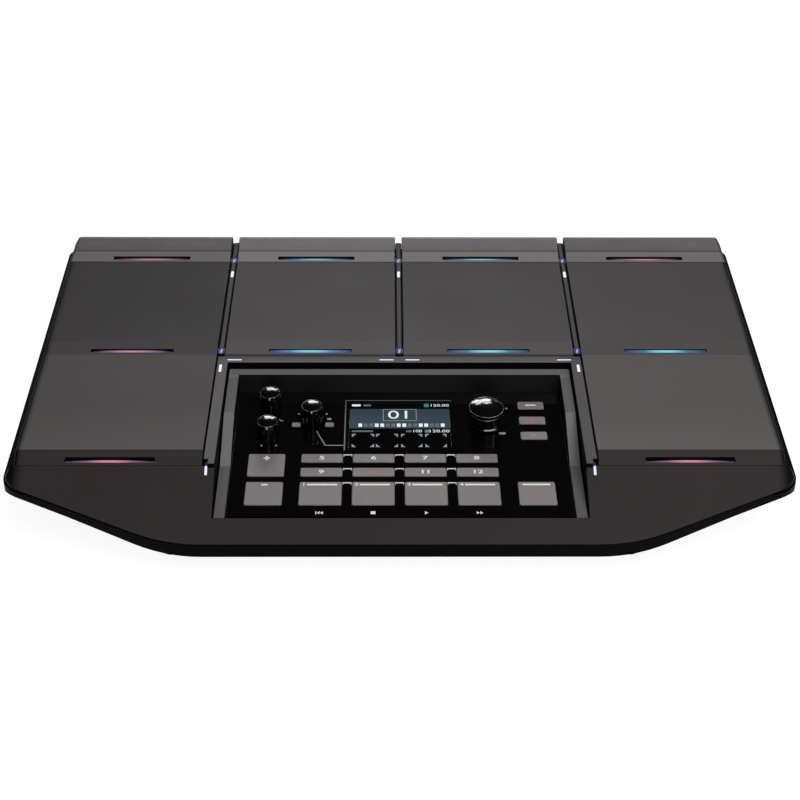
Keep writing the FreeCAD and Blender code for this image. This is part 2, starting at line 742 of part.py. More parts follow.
def build_top_frame():
    far_front = -S.front_reach * 1.4
    sheet_drop = S.frame_sheet / cosine(S.apron_angle)
    seat_knee = (FRAME_BOTTOM + sheet_drop) / SLOPE
    apron_start = FRONT_EDGE - S.apron_gap / 2
    points = [
        (far_front, apron_height(far_front)), (apron_start, apron_height(apron_start)),
        (apron_start, FRAME_TOP), (REAR_LIMIT, FRAME_TOP), (REAR_LIMIT, FRAME_BOTTOM),
        (seat_knee, FRAME_BOTTOM), (far_front, apron_height(far_front) - sheet_drop)]
    deck_plan = plan_prism("deck_plan", S.lip_width + S.seat_gap)
    deck = common("deck", [deck_plan, side_profile("deck_profile", points)])

    ribs = []
    middle_top = S.middle_step - S.divider_drop
    strip_top = -S.divider_drop - 0.5
    for i, x in enumerate((-S.column_pitch, ZERO, S.column_pitch)):
        ribs.append(box("divider_%d" % i, (x - DIVIDER_HALF, MIDDLE_FRONT, FRAME_BOTTOM),
                        (x + DIVIDER_HALF, REAR_END - 1, middle_top)))
    pad_inner = S.column_pitch + S.column_gap / 2 - S.divider_gap
    ribs.append(box("crossbar", (-pad_inner, S.bay_rear, FRAME_BOTTOM),
                    (pad_inner, MIDDLE_FRONT - S.row_gap / 2, strip_top)))
    for i, hand in enumerate((-1, 1)):
        inner = S.bay_half_width
        middle = inner + 3.9
        for name, near, far, front in (("strip", inner, middle, -S.strip_front),
                                       ("edge", middle - 0.5, pad_inner, -S.strip_front + 4.5)):
            low, high = (near, far) if hand > 0 else (-far, -near)
            ribs.append(box("%s_%d" % (name, i), (low, front, FRAME_BOTTOM),
                            (high, S.bay_rear + 1, strip_top)))
    outer_half = S.bay_half_width + S.bay_wall
    ribs.append(box("bay_skirt", (-outer_half, BAY_FRONT - S.bay_wall, -S.bay_wall_drop),
                    (outer_half, S.bay_rear + S.bay_wall, FRAME_BOTTOM + 1)))
    raised = put_on_slope(fuse("frame_ribs", ribs))

    air_rear = -S.strip_front - 1
    apron_air_points = [
        (far_front, apron_height(far_front) - 0.001), (air_rear, apron_height(air_rear) - 0.001),
        (air_rear, as_size(60.0)), (far_front, as_size(60.0))]
    apron_air = side_profile("apron_air", apron_air_points)
    trimmed_ribs = cut("trimmed_ribs", raised, apron_air)

    pillars = []
    for i, (x, y) in enumerate(SCREWS):
        pillars.append(post("pillar_%d" % i, x, y, BOSS_TOP, 4.0, deck_underside(y)))
    solid = fuse("frame_solid", [deck, trimmed_ribs] + pillars)

    tools = [box("bay_way", (-S.bay_half_width, BAY_FRONT, -60), (S.bay_half_width, S.bay_rear, 30))]
    for name, x, v0, v1, half, top in window_boxes():
        tools.append(box("window_way_" + name, (x - half, v0, top - 2.2), (x + half, v1, top + 3)))
    for i, hand in enumerate((-1, 1)):
        x = S.column_pitch * hand + 0.2 * hand
        tools.append(box("front_window_way_%d" % i, (x - 0.8, FRONT_EDGE - 6.0, FRAME_TOP + 3.0),
                         (x + 0.8, FRONT_EDGE + 2.2, FRAME_TOP + 12)))
        flank = new_body("flank_cut_%d" % i)
        flank_points = [((PAD_OUTER - 1.0) * hand, as_size(1.0)), ((HALF_WIDTH - 0.8) * hand, FRAME_TOP),
                        ((HALF_WIDTH + 5) * hand, FRAME_TOP), ((HALF_WIDTH + 5) * hand, as_size(1.0))]
        flat_feature(flank, "flank_cut_block_%d" % i, "XZ_Plane", -apron_start, S.front_reach, flank_points)
        tools.append(flank)
    bores = [cylinder("pillar_bore_%d" % i, (x, y, BOSS_TOP - 1), S.screw_radius + 0.05, S.screw_bite + 3)
             for i, (x, y) in enumerate(SCREWS)]
    sloped = put_on_slope(fuse("frame_cuts", tools))
    finish(cut("top_frame", solid, fuse("frame_voids", [sloped] + bores)), "top_frame")


def build_light_windows():
    pieces = []
    for name, x, v0, v1, half, top in window_boxes():
        pieces.append(box("window_" + name, (x - half + 0.05, v0 + 0.05, top - 2.2),
                          (x + half - 0.05, v1 - 0.05, top + 0.05)))
    for i, hand in enumerate((-1, 1)):
        x = S.column_pitch * hand + 0.2 * hand
        body = new_body("window_front_%d" % i)
        front = FRONT_EDGE - 5.95
        rear = FRONT_EDGE + 2.15
        base = FRAME_TOP + 3.0
        points = [(front, base), (rear, base), (rear, apron_height(rear) + 0.1),
                  (front, apron_height(front) + 0.1)]
        flat_feature(body, "window_front_block_%d" % i, "YZ_Plane", x - 0.75, 1.5, points)
        pieces.append(body)
    finish(put_on_slope(group("frame_light_windows", pieces)), "frame_light_windows")


# Drum pads: rubber-topped trays with a sloping front edge that a light slot runs through

def column_edges(column):
    """Inner and outer sides of a pad column, 0 to 3 from the left."""
    gap = S.column_gap / 2
    lows = (-PAD_OUTER, -S.column_pitch + gap, gap, S.column_pitch + gap)
    highs = (-S.column_pitch - gap, -gap, S.column_pitch - gap, PAD_OUTER)
    return lows[column], highs[column]


def slot_centre(column):
    return S.column_pitch * (column - 1.5)


def pad_rows():
    """Rows of pads: top outline in v and w, front edge, rear edge, facet height at the slot."""
    gap = S.row_gap / 2
    rows = {}
    front = FRONT_EDGE + S.apron_gap / 2
    rear = S.front_row_depth - gap
    rows["front"] = [(front, apron_height(front)), (ZERO, ZERO), (rear, ZERO)]
    front = MIDDLE_FRONT + gap
    crease = MIDDLE_FRONT + S.middle_facet
    rear = REAR_FRONT - gap
    low = S.middle_step - S.middle_facet_drop
    rows["middle"] = [(front, low), (crease, S.middle_step), (rear, S.middle_step)]
    front = REAR_FRONT + gap
    crease = REAR_FRONT + S.rear_facet
    ridge = REAR_END - S.rear_ridge_setback
    rows["rear"] = [(front, S.middle_step), (crease, S.rear_crease_height), (ridge, S.rear_ridge_height),
                    (REAR_END, S.rear_ridge_height - 0.9)]
    return rows


ROWS = pad_rows()


def slot_heights(top):
    """v range of the light slot and the facet's height at the middle of it."""
    (v0, w0), (v1, w1) = top[0], top[1]
    start = v0 + S.slot_setback
    middle = start + S.slot_opening / 2
    return start, w0 + (w1 - w0) / (v1 - v0) * (middle - v0)


def build_pad(label, row, column):
    top = ROWS[row]
    low_x, high_x = column_edges(column)
    body = new_body(label)
    front = top[0][0]
    rear = top[-1][0]
    points = [(front, PAD_BOTTOM)] + [(rear, PAD_BOTTOM)] + top[::-1]
    block = flat_feature(body, label + "_block", "YZ_Plane", low_x, high_x - low_x, points)
    hand = 1 if column == 3 else -1 if column == 0 else 0
    outer = PAD_OUTER * hand
    lean = ZERO
    tip = block
    if row == "rear" and hand:
        lean = S.rear_end_lean / S.rear_ridge_height
        above = S.rear_ridge_height + 2
        points = [(outer, ZERO), (outer + 4 * hand, ZERO), (outer + 4 * hand, above),
                  (outer - lean * above * hand, above)]
        tip = flat_feature(body, label + "_lean", "XZ_Plane", -rear - 1, rear - front + 2, points, cut=True)

    def above_deck(edge):
        return edge.BoundBox.ZMin > PAD_BOTTOM.value + 1

    def outer_edge(edge):
        ends = [vertex.Point for vertex in edge.Vertexes]
        leaning = [abs(end.x) + max(end.z, 0) * lean.value for end in ends]
        on_side = hand and all(abs(place - PAD_OUTER.value) < 0.01 for place in leaning)
        along = edge.BoundBox.YLength > 0.5 and (row != "rear" or edge.BoundBox.ZMax > 0.5)
        across = edge.BoundBox.YLength < 0.01 and abs(edge.BoundBox.YMin - rear.value) < 0.01
        return above_deck(edge) and ((on_side and along) or (row == "rear" and across))

    def inner_edge(edge):
        side = edge.BoundBox.XLength < 0.01 and edge.BoundBox.YLength > 0.5 and above_deck(edge)
        return side and not (hand and abs(edge.BoundBox.XMin) > PAD_OUTER.value - 8)

    if row == "rear" or hand:
        tip = round_edges(body, tip, label + "_outer_round", S.pad_side_round, outer_edge)
    round_edges(body, tip, label + "_edge", S.pad_edge_chamfer, inner_edge, "PartDesign::Chamfer")
    slot_start, slot_height = slot_heights(top)
    wall = S.pad_wall
    inner_front = slot_start
    inner_low, inner_high = low_x + wall, high_x - wall
    ceiling = top[1][1] if row == "rear" else top[-1][1]
    depth = ceiling - S.pad_skin - PAD_BOTTOM
    first_under = top[1][0]
    flat_feature(body, label + "_hollow", "XY_Plane", PAD_BOTTOM, depth,
                 rectangle(inner_low, inner_high, first_under, rear - wall), cut=True)
    shallow = top[0][1] - S.pad_skin - PAD_BOTTOM
    flat_feature(body, label + "_front_hollow", "XY_Plane", PAD_BOTTOM, shallow,
                 rectangle(inner_low, inner_high, inner_front, first_under + 0.5), cut=True)
    centre = slot_centre(column)
    half = S.slot_length / 2
    flat_feature(body, label + "_slot", "XY_Plane", PAD_BOTTOM, S.rim_drop * 2,
                 rectangle(centre - half, centre + half, slot_start, slot_start + S.slot_opening),
                 [0.9, 0.9, 0.9, 0.9], cut=True)
    finish(put_on_slope(body), label)


PADS = ([("rear_pad_%d" % (i + 1), "rear", i) for i in range(4)]
        + [("middle_pad_%d" % (i + 1), "middle", i) for i in range(4)]
        + [("front_pad_1", "front", 0), ("front_pad_2", "front", 3)])


def build_pad_inners():
    bars = []
    sensors = []
    cushions = []
    for label, row, column in PADS:
        top = ROWS[row]
        low_x, high_x = column_edges(column)
        slot_start, slot_height = slot_heights(top)
        centre = slot_centre(column)
        half = S.slot_length / 2 - S.light_bar_gap
        slot_end = slot_start + S.slot_opening
        bars.append(box("light_bar_" + label, (centre - half, slot_start + S.light_bar_gap, FRAME_TOP),
                        (centre + half, slot_end - S.light_bar_gap, slot_height - S.light_bar_drop)))
        margin = S.pad_wall + (S.cushion_margin / 4 if row == "rear" else S.cushion_margin)
        front = top[1][0] + margin if row != "rear" else top[1][0] + 1
        rear = top[-1][0] - margin
        low = low_x + S.pad_wall + S.cushion_margin
        high = high_x - S.pad_wall - S.cushion_margin
        ceiling = top[1][1] if row == "rear" else top[-1][1]
        sensor_top = FRAME_TOP + S.sensor_thickness
        sensors.append(box("sensor_" + label, (low, front, FRAME_TOP), (high, rear, sensor_top)))
        cushion_top = ceiling - S.pad_skin - S.pad_travel - 0.15
        cushions.append(box("cushion_" + label, (low + 2, front + 1, sensor_top),
                            (high - 2, rear - 1, cushion_top)))
    finish(put_on_slope(group("pad_light_bars", bars)), "pad_light_bars")
    finish(put_on_slope(group("pad_sensors", sensors)), "pad_sensors")
    finish(put_on_slope(group("pad_cushions", cushions)), "pad_cushions")


# Bezel: stepped frame round the control panel, flat at the rear, a ramp and flush in front

def build_bezel():
    body = new_body("panel_bezel")
    rear = S.bay_rear - S.bezel_gap
    front = BAY_FRONT + 0.3
    top = PANEL_TOP + S.bezel_height
    flush = PANEL_TOP + 0.1
    bottom = -S.bay_wall_drop
    profile = [(front, bottom), (rear, bottom), (rear, top), (S.bezel_flat_end, top),
               (S.bezel_ramp_end, flush + 0.9), (front, flush)]
    flat_feature(body, "bezel_block", "YZ_Plane", -BEZEL_HALF, BEZEL_HALF * 2, profile)
    inner = BEZEL_HALF - S.bezel_rail
    rail_inner = rear - S.bezel_rail + 0.2
    wall_foot = rail_inner - S.bezel_rear_slope
    shelf = PANEL_UNDER
    hollow = [(front - 2, shelf), (wall_foot, shelf), (wall_foot, PANEL_TOP), (rail_inner, top),
              (rail_inner, top + 5), (front - 2, top + 5)]
    flat_feature(body, "bezel_hollow", "YZ_Plane", -inner, inner * 2, hollow, cut=True)
    flat_feature(body, "bezel_flange", "XY_Plane", bottom - S.bezel_flange, S.bezel_flange,
                 rectangle(-S.bay_half_width - S.bay_wall, S.bay_half_width + S.bay_wall,
                           BAY_FRONT - S.bay_wall, S.bay_rear + S.bay_wall))
    opening = inner - S.bezel_shelf
    flat_feature(body, "bezel_opening", "XY_Plane", bottom - S.bezel_flange - 1, S.bay_wall_drop,
                 rectangle(-opening, opening, front + S.bezel_shelf, wall_foot - S.bezel_shelf), cut=True)
    sketch = new_sketch(body, "bezel_posts_sketch", "XY_Plane", BOARD_TOP)
    for hand in (-1, 1):
        x = (BEZEL_HALF - 7) * hand
        for v in (PANEL_EDGE + 12, (PANEL_EDGE + PANEL_REAR) / 2, PANEL_REAR - 12):
            add_outline(sketch, rectangle(x - 3, x + 3, v - 3, v + 3))
    extrude(body, sketch, bottom - BOARD_TOP, "bezel_posts")
    finish(put_on_slope(body), "panel_bezel")


# Control panel with its display, buttons, knobs and dial

def button_list():
    """Every button: name, x centre, v centre from the panel's front edge, width, depth."""
    buttons = []
    key_row = S.first_row_edge + S.key_depth / 2
    row_two = S.first_row_edge + S.key_depth + S.button_row_gap
    row_three = row_two + S.strip_button_depth + S.button_row_gap
    rows = (("track_button", key_row, S.key_depth),
            ("lower_button", row_two + S.strip_button_depth / 2, S.strip_button_depth),
            ("upper_button", row_three + S.strip_button_depth / 2, S.strip_button_depth))
    for name, v, depth in rows:
        for i in range(4):
            x = S.button_pitch * (i - 1.5) - 0.5
            buttons.append(("%s_%d" % (name, i + 1), x, v, S.button_width, depth))
    plus_depth = S.strip_button_depth * 2 + S.button_row_gap
    side = S.side_button_centre
    buttons.append(("minus_button", -side, key_row, S.side_button_width, S.key_depth))
    buttons.append(("plus_button", -side, row_two + plus_depth / 2, S.side_button_width, plus_depth))
    buttons.append(("function_button", side, key_row, S.side_button_width, S.key_depth))
    for i in range(3):
        v = S.menu_button_first + S.menu_button_pitch * i
        buttons.append(("menu_button_%d" % (i + 1), S.menu_button_centre, v,
                        S.menu_button_width, S.menu_button_depth))
    for name, x in (("page_button_1", -S.page_button_left), ("page_button_2", -S.page_button_right)):
        buttons.append((name, x, S.page_button_centre, S.page_button_width, S.page_button_depth))
    return [(name, as_size(x), PANEL_EDGE + v, width, depth) for name, x, v, width, depth in buttons]


BUTTONS = button_list()
KNOBS = [("volume_knob", -S.knob_column, PANEL_EDGE + S.volume_knob_row),
         ("phones_knob", -S.knob_column, PANEL_EDGE + S.phones_knob_row),
         ("value_knob", -S.value_knob_column, PANEL_EDGE + S.value_knob_row)]
DIAL = (S.dial_column, PANEL_EDGE + S.dial_row)
SLEEVE_RADIUS = S.spindle_radius + S.running_gap + S.dial_sleeve
DISPLAY_V = PANEL_EDGE + S.display_centre


def build_panel():
    body = new_body("control_panel")
    front = PANEL_EDGE
    plate = flat_feature(body, "panel_plate", "XY_Plane", PANEL_UNDER, S.panel_thickness,
                         rectangle(-PANEL_HALF, PANEL_HALF, front, PANEL_REAR))
    sketch = new_sketch(body, "panel_holes_sketch", "XY_Plane", PANEL_UNDER - 1)
    for name, x, v, width, depth in BUTTONS:
        half_x = width / 2 + S.button_gap
        half_v = depth / 2 + S.button_gap
        add_outline(sketch, rectangle(x - half_x, x + half_x, v - half_v, v + half_v))
    for name, x, v in KNOBS:
        add_circle(sketch, (x, v), S.spindle_radius + 1.2)
    add_circle(sketch, DIAL, SLEEVE_RADIUS + 2.2)
    half_x = S.display_width / 2 + 0.1
    half_v = S.display_depth / 2 + 0.1
    add_outline(sketch, rectangle(-half_x, half_x, DISPLAY_V - half_v, DISPLAY_V + half_v))
    extrude(body, sketch, S.panel_thickness + 2, "panel_holes", cut=True)
    finish(put_on_slope(body), "control_panel")


def build_display():
    half_x = S.display_width / 2
    half_v = S.display_depth / 2
    window = new_body("display_window")
    flat_feature(window, "display_glass", "XY_Plane", PANEL_UNDER, S.panel_thickness,
                 rectangle(-half_x, half_x, DISPLAY_V - half_v, DISPLAY_V + half_v))
    finish(put_on_slope(window), "display_window")
    module = box("display_module_block", (-half_x - 3.5, DISPLAY_V - half_v - 2, PANEL_UNDER - 3.6),
                 (half_x + 3.5, DISPLAY_V + half_v + 2, PANEL_UNDER))
    finish(put_on_slope(group("display_module", [module])), "display_module")


def cut_corners(half_x, half_v, corner):
    """Rectangle round the origin with its four corners cut off."""
    near_x = half_x - corner
    near_v = half_v - corner
    return [(-near_x, -half_v), (near_x, -half_v), (half_x, -near_v), (half_x, near_v),
            (near_x, half_v), (-near_x, half_v), (-half_x, near_v), (-half_x, -near_v)]


def build_button(label, x, v, width, depth):
    body = new_body(label)
    half_x = width / 2
    half_v = depth / 2
    under = PANEL_UNDER - 0.1 - 1.1
    rise = PANEL_TOP + S.button_rise - under
    outline = cut_corners(half_x, half_v, S.button_corner)
    cap = flat_feature(body, label + "_cap", "XY_Plane", under, rise, outline)
    top = under.value + rise.value

    def top_edge(edge):
        return abs(edge.BoundBox.ZMin - top) < 0.01 and abs(edge.BoundBox.ZMax - top) < 0.01

    round_edges(body, cap, label + "_brim", S.button_brim, top_edge, "PartDesign::Chamfer")
    flange_x = half_x + S.button_flange
    flange_v = half_v + S.button_flange
    flat_feature(body, label + "_flange", "XY_Plane", under, as_size(1.1),
                 rectangle(-flange_x, flange_x, -flange_v, flange_v))
    stem_end = BOARD_TOP + S.switch_height + 0.9 + S.button_travel + 0.1
    half = S.stem_width / 2
    flat_feature(body, label + "_stem", "XY_Plane", stem_end, under - stem_end + 0.2,
                 rectangle(-half, half, -half, half))
    finish(put_on_slope(body, x, v), label)


def add_profile(body, name, points):
    """Half section of a turned piece on the XZ plane, turned round the w axis."""
    sketch = new_sketch(body, name + "_sketch", "XZ_Plane", ZERO)
    add_outline(sketch, points)
    turned = body.newObject("PartDesign::Revolution", name)
    turned.Profile = sketch
    turned.ReferenceAxis = (sketch, ["V_Axis"])
    turned.Angle = 360
    sketch.Visibility = False
    return turned


def dome_points(radius, rim, rise):
    """Half section of a shallow dome in four rings, from its rim to its top."""
    rings = [(radius * part, rim + rise * (1 - part * part)) for part in (0.88, 0.66, 0.36)]
    return rings + [(ZERO, rim + rise)]


def build_knob(label, x, v):
    body = new_body(label)
    base = PANEL_TOP + S.knob_lift
    top = base + S.knob_height
    radius = S.knob_radius
    stem_end = BOARD_TOP + 2.5
    shoulder = base + S.flute_height
    rim = top - S.knob_dome
    points = [(ZERO, stem_end), (S.spindle_radius, stem_end), (S.spindle_radius, base),
              (radius - 0.4, base), (radius - 0.4, shoulder + 0.5), (radius, shoulder + 0.9), (radius, rim)]
    add_profile(body, label + "_turned", points + dome_points(radius, rim, S.knob_dome))
    skirt = []
    count = int(SIZES["flute_count"])
    for i in range(count * 2):
        turn = math.pi * i / count
        reach = S.knob_skirt - (S.flute_depth if i % 2 else 0.0)
        skirt.append((reach * math.cos(turn), reach * math.sin(turn)))
    flat_feature(body, label + "_skirt", "XY_Plane", base, S.flute_height, skirt)
    finish(put_on_slope(body, x, v), label)


def build_dial():
    base = PANEL_TOP + S.dial_lift
    top = base + S.dial_height
    radius = S.dial_radius
    body = new_body("dial_knob")
    bore = S.spindle_radius
    bore_top = base + S.dial_height * 0.6
    rim = top - S.dial_dome
    points = [(bore, base), (radius, base), (radius, base + 1.6), (radius - 0.7, base + 2.2),
              (radius - 0.7, rim - 1.0), (radius, rim - 0.4), (radius, rim)]
    points += dome_points(radius, rim, S.dial_dome) + [(ZERO, bore_top), (bore, bore_top)]
    add_profile(body, "dial_turned", points)
    finish(put_on_slope(body, *DIAL), "dial_knob")
    sleeve_bottom = BOARD_TOP + 2.0
    sleeve_top = PANEL_TOP - 0.8
    collar_bottom = sleeve_bottom + 0.9
    spindle = new_body("dial_spindle")
    points = [(ZERO, collar_bottom), (S.spindle_radius, collar_bottom), (S.spindle_radius, bore_top),
              (ZERO, bore_top)]
    add_profile(spindle, "spindle_turned", points)
    finish(put_on_slope(spindle, *DIAL), "dial_spindle")
    plunger = new_body("dial_plunger")
    inner = S.spindle_radius + S.running_gap
    points = [(ZERO, sleeve_bottom), (SLEEVE_RADIUS, sleeve_bottom), (SLEEVE_RADIUS, sleeve_top),
              (inner, sleeve_top), (inner, collar_bottom - 0.05), (ZERO, collar_bottom - 0.05)]
    add_profile(plunger, "plunger_turned", points)
    finish(put_on_slope(plunger, *DIAL), "dial_plunger")


def build_panel_board():
    bottom = BOARD_TOP - S.board_thickness
    board_half = BEZEL_HALF - 2
    board = box("panel_board_sheet", (-board_half, PANEL_EDGE + 4, bottom),
                (board_half, PANEL_REAR - 3, BOARD_TOP))
    finish(put_on_slope(group("panel_board", [board])), "panel_board")
    switches = []
    half = S.switch_size / 2
    for label, x, v, width, depth in BUTTONS:
        side = half * 0.6 if label.startswith("page") else half
        case = post("switch_" + label, x, v, BOARD_TOP, side, BOARD_TOP + S.switch_height)
        tip = post("switch_tip_" + label, x, v, BOARD_TOP + S.switch_height - 0.5, 1.4,
                   BOARD_TOP + S.switch_height + 0.9)
        switches.append(fuse("switch_unit_" + label, [case, tip]))
    finish(put_on_slope(group("button_switches", switches)), "button_switches")
    half = S.control_body / 2
    controls = []
    for label, x, v in KNOBS:
        case = post("control_case_" + label, x, v, BOARD_TOP, half, BOARD_TOP + S.control_body_height)
        neck_base = BOARD_TOP + S.control_body_height - 1
        neck = cylinder("control_neck_" + label, (x, v, neck_base), S.spindle_radius + 1,
                        PANEL_UNDER - neck_base - 0.1)
        way = cylinder("control_way_" + label, (x, v, BOARD_TOP + 2.0), S.spindle_radius + S.running_gap,
                       S.panel_board_drop)
        controls.append(cut("control_unit_" + label, fuse("control_solid_" + label, [case, neck]), way))
    finish(put_on_slope(group("knob_controls", controls)), "knob_controls")
    x, v = DIAL
    half = half + 1.5
    case = post("encoder_case", x, v, BOARD_TOP, half, BOARD_TOP + S.control_body_height)
    neck = cylinder("encoder_neck", (x, v, BOARD_TOP + S.control_body_height - 1), SLEEVE_RADIUS + 1.6,
                    PANEL_TOP - 1.2 - BOARD_TOP - S.control_body_height + 1)
    way_base = BOARD_TOP + 2.0 - S.dial_travel - 0.3
    way = cylinder("encoder_way", (x, v, way_base), SLEEVE_RADIUS + S.running_gap, S.panel_board_drop)
    encoder = cut("encoder_unit", fuse("encoder_solid", [case, neck]), way)
    finish(put_on_slope(group("dial_encoder", [encoder])), "dial_encoder")


# Boards and connectors at the rear

def build_rear():
    half, y0, y1, z = MAIN_BOARD
    sheet_board = box("main_board_sheet", (-half, y0, z), (half, y1, z + S.board_thickness))
    finish(group("main_board", [sheet_board]), "main_board")
    half, y0, y1 = JACK_BOARD
    height = S.connector_height
    board_top = height - 7
    board = box("jack_board_sheet", (-half, y0, board_top - S.board_thickness), (half, y1, board_top))
    switch = box("power_switch_body", (S.power_place - 6, REAR_WALL - 22, board_top),
                 (S.power_place + 6, REAR_WALL - S.case_wall - S.power_travel - 4.5, height + 5))
    finish(group("jack_board", [board, switch]), "jack_board")
    inside = REAR_WALL - S.case_wall
    jacks = []
    for i, x in enumerate(JACKS):
        case = box("jack_case_%d" % i, (x - 7, inside - S.jack_depth + 2, board_top),
                   (x + 7, inside, height + 6.5))
        neck = cylinder("jack_neck_%d" % i, (x, inside - 1, height), S.jack_bushing_radius,
                        S.case_wall + 3.2, "Y")
        nut = hexagon("jack_nut_%d" % i, (x, REAR_WALL, height), S.jack_nut_radius, 1.6)
        way = cylinder("jack_bore_%d" % i, (x, REAR_WALL + 2.2 - S.jack_depth, height), S.jack_radius,
                       S.jack_depth + 2, "Y")
        jacks.append(cut("jack_unit_%d" % i, fuse("jack_solid_%d" % i, [case, neck, nut]), way))
    finish(group("audio_jacks", jacks), "audio_jacks")
    minis = []
    for i, x in enumerate(MINI_JACKS):
        case = box("mini_case_%d" % i, (x - 4, inside - 12, board_top), (x + 4, inside, height + 4))
        neck = cylinder("mini_neck_%d" % i, (x, inside - 1, height), S.mini_jack_radius + 1.3,
                        S.case_wall + 1.3, "Y")
        way = cylinder("mini_bore_%d" % i, (x, REAR_WALL + 0.3 - 13, height), S.mini_jack_radius,
                       as_size(15.0), "Y")
        minis.append(cut("mini_unit_%d" % i, fuse("mini_solid_%d" % i, [case, neck]), way))
    finish(group("midi_jacks", minis), "midi_jacks")
    x = S.usb_place
    shell = box("usb_shell", (x - 5, REAR_WALL - 9, board_top), (x + 5, REAR_WALL + 0.2, height - 2.5))
    mouth = box("usb_mouth", (x - 4.5, REAR_WALL - 6, board_top + 0.6),
                (x + 4.5, REAR_WALL + 2, height - 3.1))
    finish(group("usb_socket", [cut("usb_unit", shell, mouth)]), "usb_socket")
    x = S.inlet_place
    case = box("inlet_case", (x - 5, inside - 12, board_top), (x + 5, inside, height + 5))
    neck = cylinder("inlet_neck", (x, inside - 1, height), S.inlet_radius + 2, S.case_wall + 1.3, "Y")
    way = cylinder("inlet_way_bore", (x, REAR_WALL + 0.3 - 10, height), S.inlet_radius, as_size(12.0), "Y")
    pin = cylinder("inlet_pin", (x, REAR_WALL - 11, height), 1.0, as_size(9.5), "Y")
    hollow = cut("inlet_hollow", fuse("inlet_solid", [case, neck]), way)
    finish(group("power_inlet", [fuse("inlet_unit", [hollow, pin])]), "power_inlet")
    body = new_body("power_button")
    half_x = S.power_width / 2
    half_z = S.power_height / 2
    flat_feature(body, "power_cap", "XY_Plane", -half_z, half_z * 2,
                 rectangle(-half_x, half_x, -S.case_wall - 4.2, as_size(3.0)))
    flat_feature(body, "power_collar", "XY_Plane", -half_z - 1.2, half_z * 2 + 2.4,
                 rectangle(-half_x - 1.2, half_x + 1.2, -S.case_wall - 1.3, -S.case_wall - 0.2))
    put_at(body, S.power_place, REAR_WALL, height)
    finish(body, "power_button")


def build_fasteners():
    feet = []
    for i, (x, y) in enumerate(FEET):
        body = new_body("foot_%d" % i)
        radius = S.foot_radius
        rise = S.case_floor_height
        points = [(ZERO, ZERO), (radius - 1.5, ZERO), (radius, rise), (ZERO, rise)]
        add_profile(body, "foot_turned_%d" % i, points)
        put_at(body, x, y, ZERO)
        feet.append(body)
    finish(group("rubber_feet", feet), "rubber_feet")
    screws = []
    for i, (x, y) in enumerate(SCREWS):
        head = cylinder("screw_head_%d" % i, (x, y, HEAD_SEAT - S.screw_head_height), S.screw_head_radius,
                        S.screw_head_height)
        shank = cylinder("screw_shank_%d" % i, (x, y, HEAD_SEAT - 0.5), S.screw_radius,
                         BOSS_TOP - HEAD_SEAT + S.screw_bite + 0.5)
        screws.append(fuse("screw_%d" % i, [head, shank]))
    finish(group("case_screws", screws), "case_screws")
    inserts = []
    for i, (x, y) in enumerate(INSERTS):
        sleeve = cylinder("insert_sleeve_%d" % i, (x, y, S.case_floor_height),
                          S.insert_radius + S.insert_wall, S.insert_length)
        way = cylinder("insert_bore_%d" % i, (x, y, S.case_floor_height - 1), S.insert_radius,
                       S.insert_length + 2)
        inserts.append(cut("insert_%d" % i, sleeve, way))
    finish(group("stand_inserts", inserts), "stand_inserts")


build_lower_case()
build_top_frame()
build_light_windows()
for pad_label, pad_row, pad_column in PADS:
    build_pad(pad_label, pad_row, pad_column)
build_pad_inners()
build_bezel()
build_panel()
build_display()
for button in BUTTONS:
    build_button(*button)
for knob in KNOBS:
    build_knob(*knob)
build_dial()
build_panel_board()
build_rear()
build_fasteners()

doc.recompute()

# Every object has to be sound before anything is written
for thing in doc.Objects:
    if "Invalid" in thing.State or "Error" in thing.State:
        raise RuntimeError("%s failed: %s" % (thing.Name, thing.State))
for thing in finished:
    if thing.Shape.isNull() or not thing.Shape.isValid():
        raise RuntimeError("%s has no valid shape" % thing.Label)

os.makedirs("parts", exist_ok=True)
for thing in finished:
    thing.Shape.exportStep("parts/%s.step" % thing.Label)
print("%d nodes written" % len(finished))
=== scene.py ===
import json
import math
import bmesh
import bpy
from mathutils import Matrix, Vector


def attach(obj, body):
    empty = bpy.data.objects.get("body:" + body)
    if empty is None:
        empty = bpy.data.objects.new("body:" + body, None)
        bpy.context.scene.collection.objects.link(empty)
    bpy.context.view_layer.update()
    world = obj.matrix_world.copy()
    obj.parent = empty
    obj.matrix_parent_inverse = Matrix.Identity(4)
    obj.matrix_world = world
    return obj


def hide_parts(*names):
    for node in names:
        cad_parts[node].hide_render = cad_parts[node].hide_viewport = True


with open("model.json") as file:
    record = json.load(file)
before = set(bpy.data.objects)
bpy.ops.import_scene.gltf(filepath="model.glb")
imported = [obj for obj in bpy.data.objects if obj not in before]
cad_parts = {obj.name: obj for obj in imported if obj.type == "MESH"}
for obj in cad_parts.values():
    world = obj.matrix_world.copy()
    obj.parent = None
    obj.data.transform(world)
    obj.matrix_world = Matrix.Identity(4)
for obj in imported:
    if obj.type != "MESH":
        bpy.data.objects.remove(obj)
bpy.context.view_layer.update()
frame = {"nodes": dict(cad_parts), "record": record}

# The sloping frame of the pads: x across, v up the slope, w square to the pads, in millimetres
MM = 0.001
TILT = math.radians(7.0)
SLOPE_ORIGIN = Vector((0.0, -97.0 * MM, 54.0 * MM))
SLOPE = Matrix.Translation(SLOPE_ORIGIN) @ Matrix.Rotation(TILT, 4, "X")
UP = (SLOPE.to_3x3() @ Vector((0, 0, 1))).normalized()
ALONG = (SLOPE.to_3x3() @ Vector((0, 1, 0))).normalized()
ACROSS = Vector((1, 0, 0))
FILM = 0.04              # thickness of printed marks, in millimetres
HOUSING = "housing"      # body that carries everything that doesn't move
PITCH = 117.0            # from one column of pads to the next

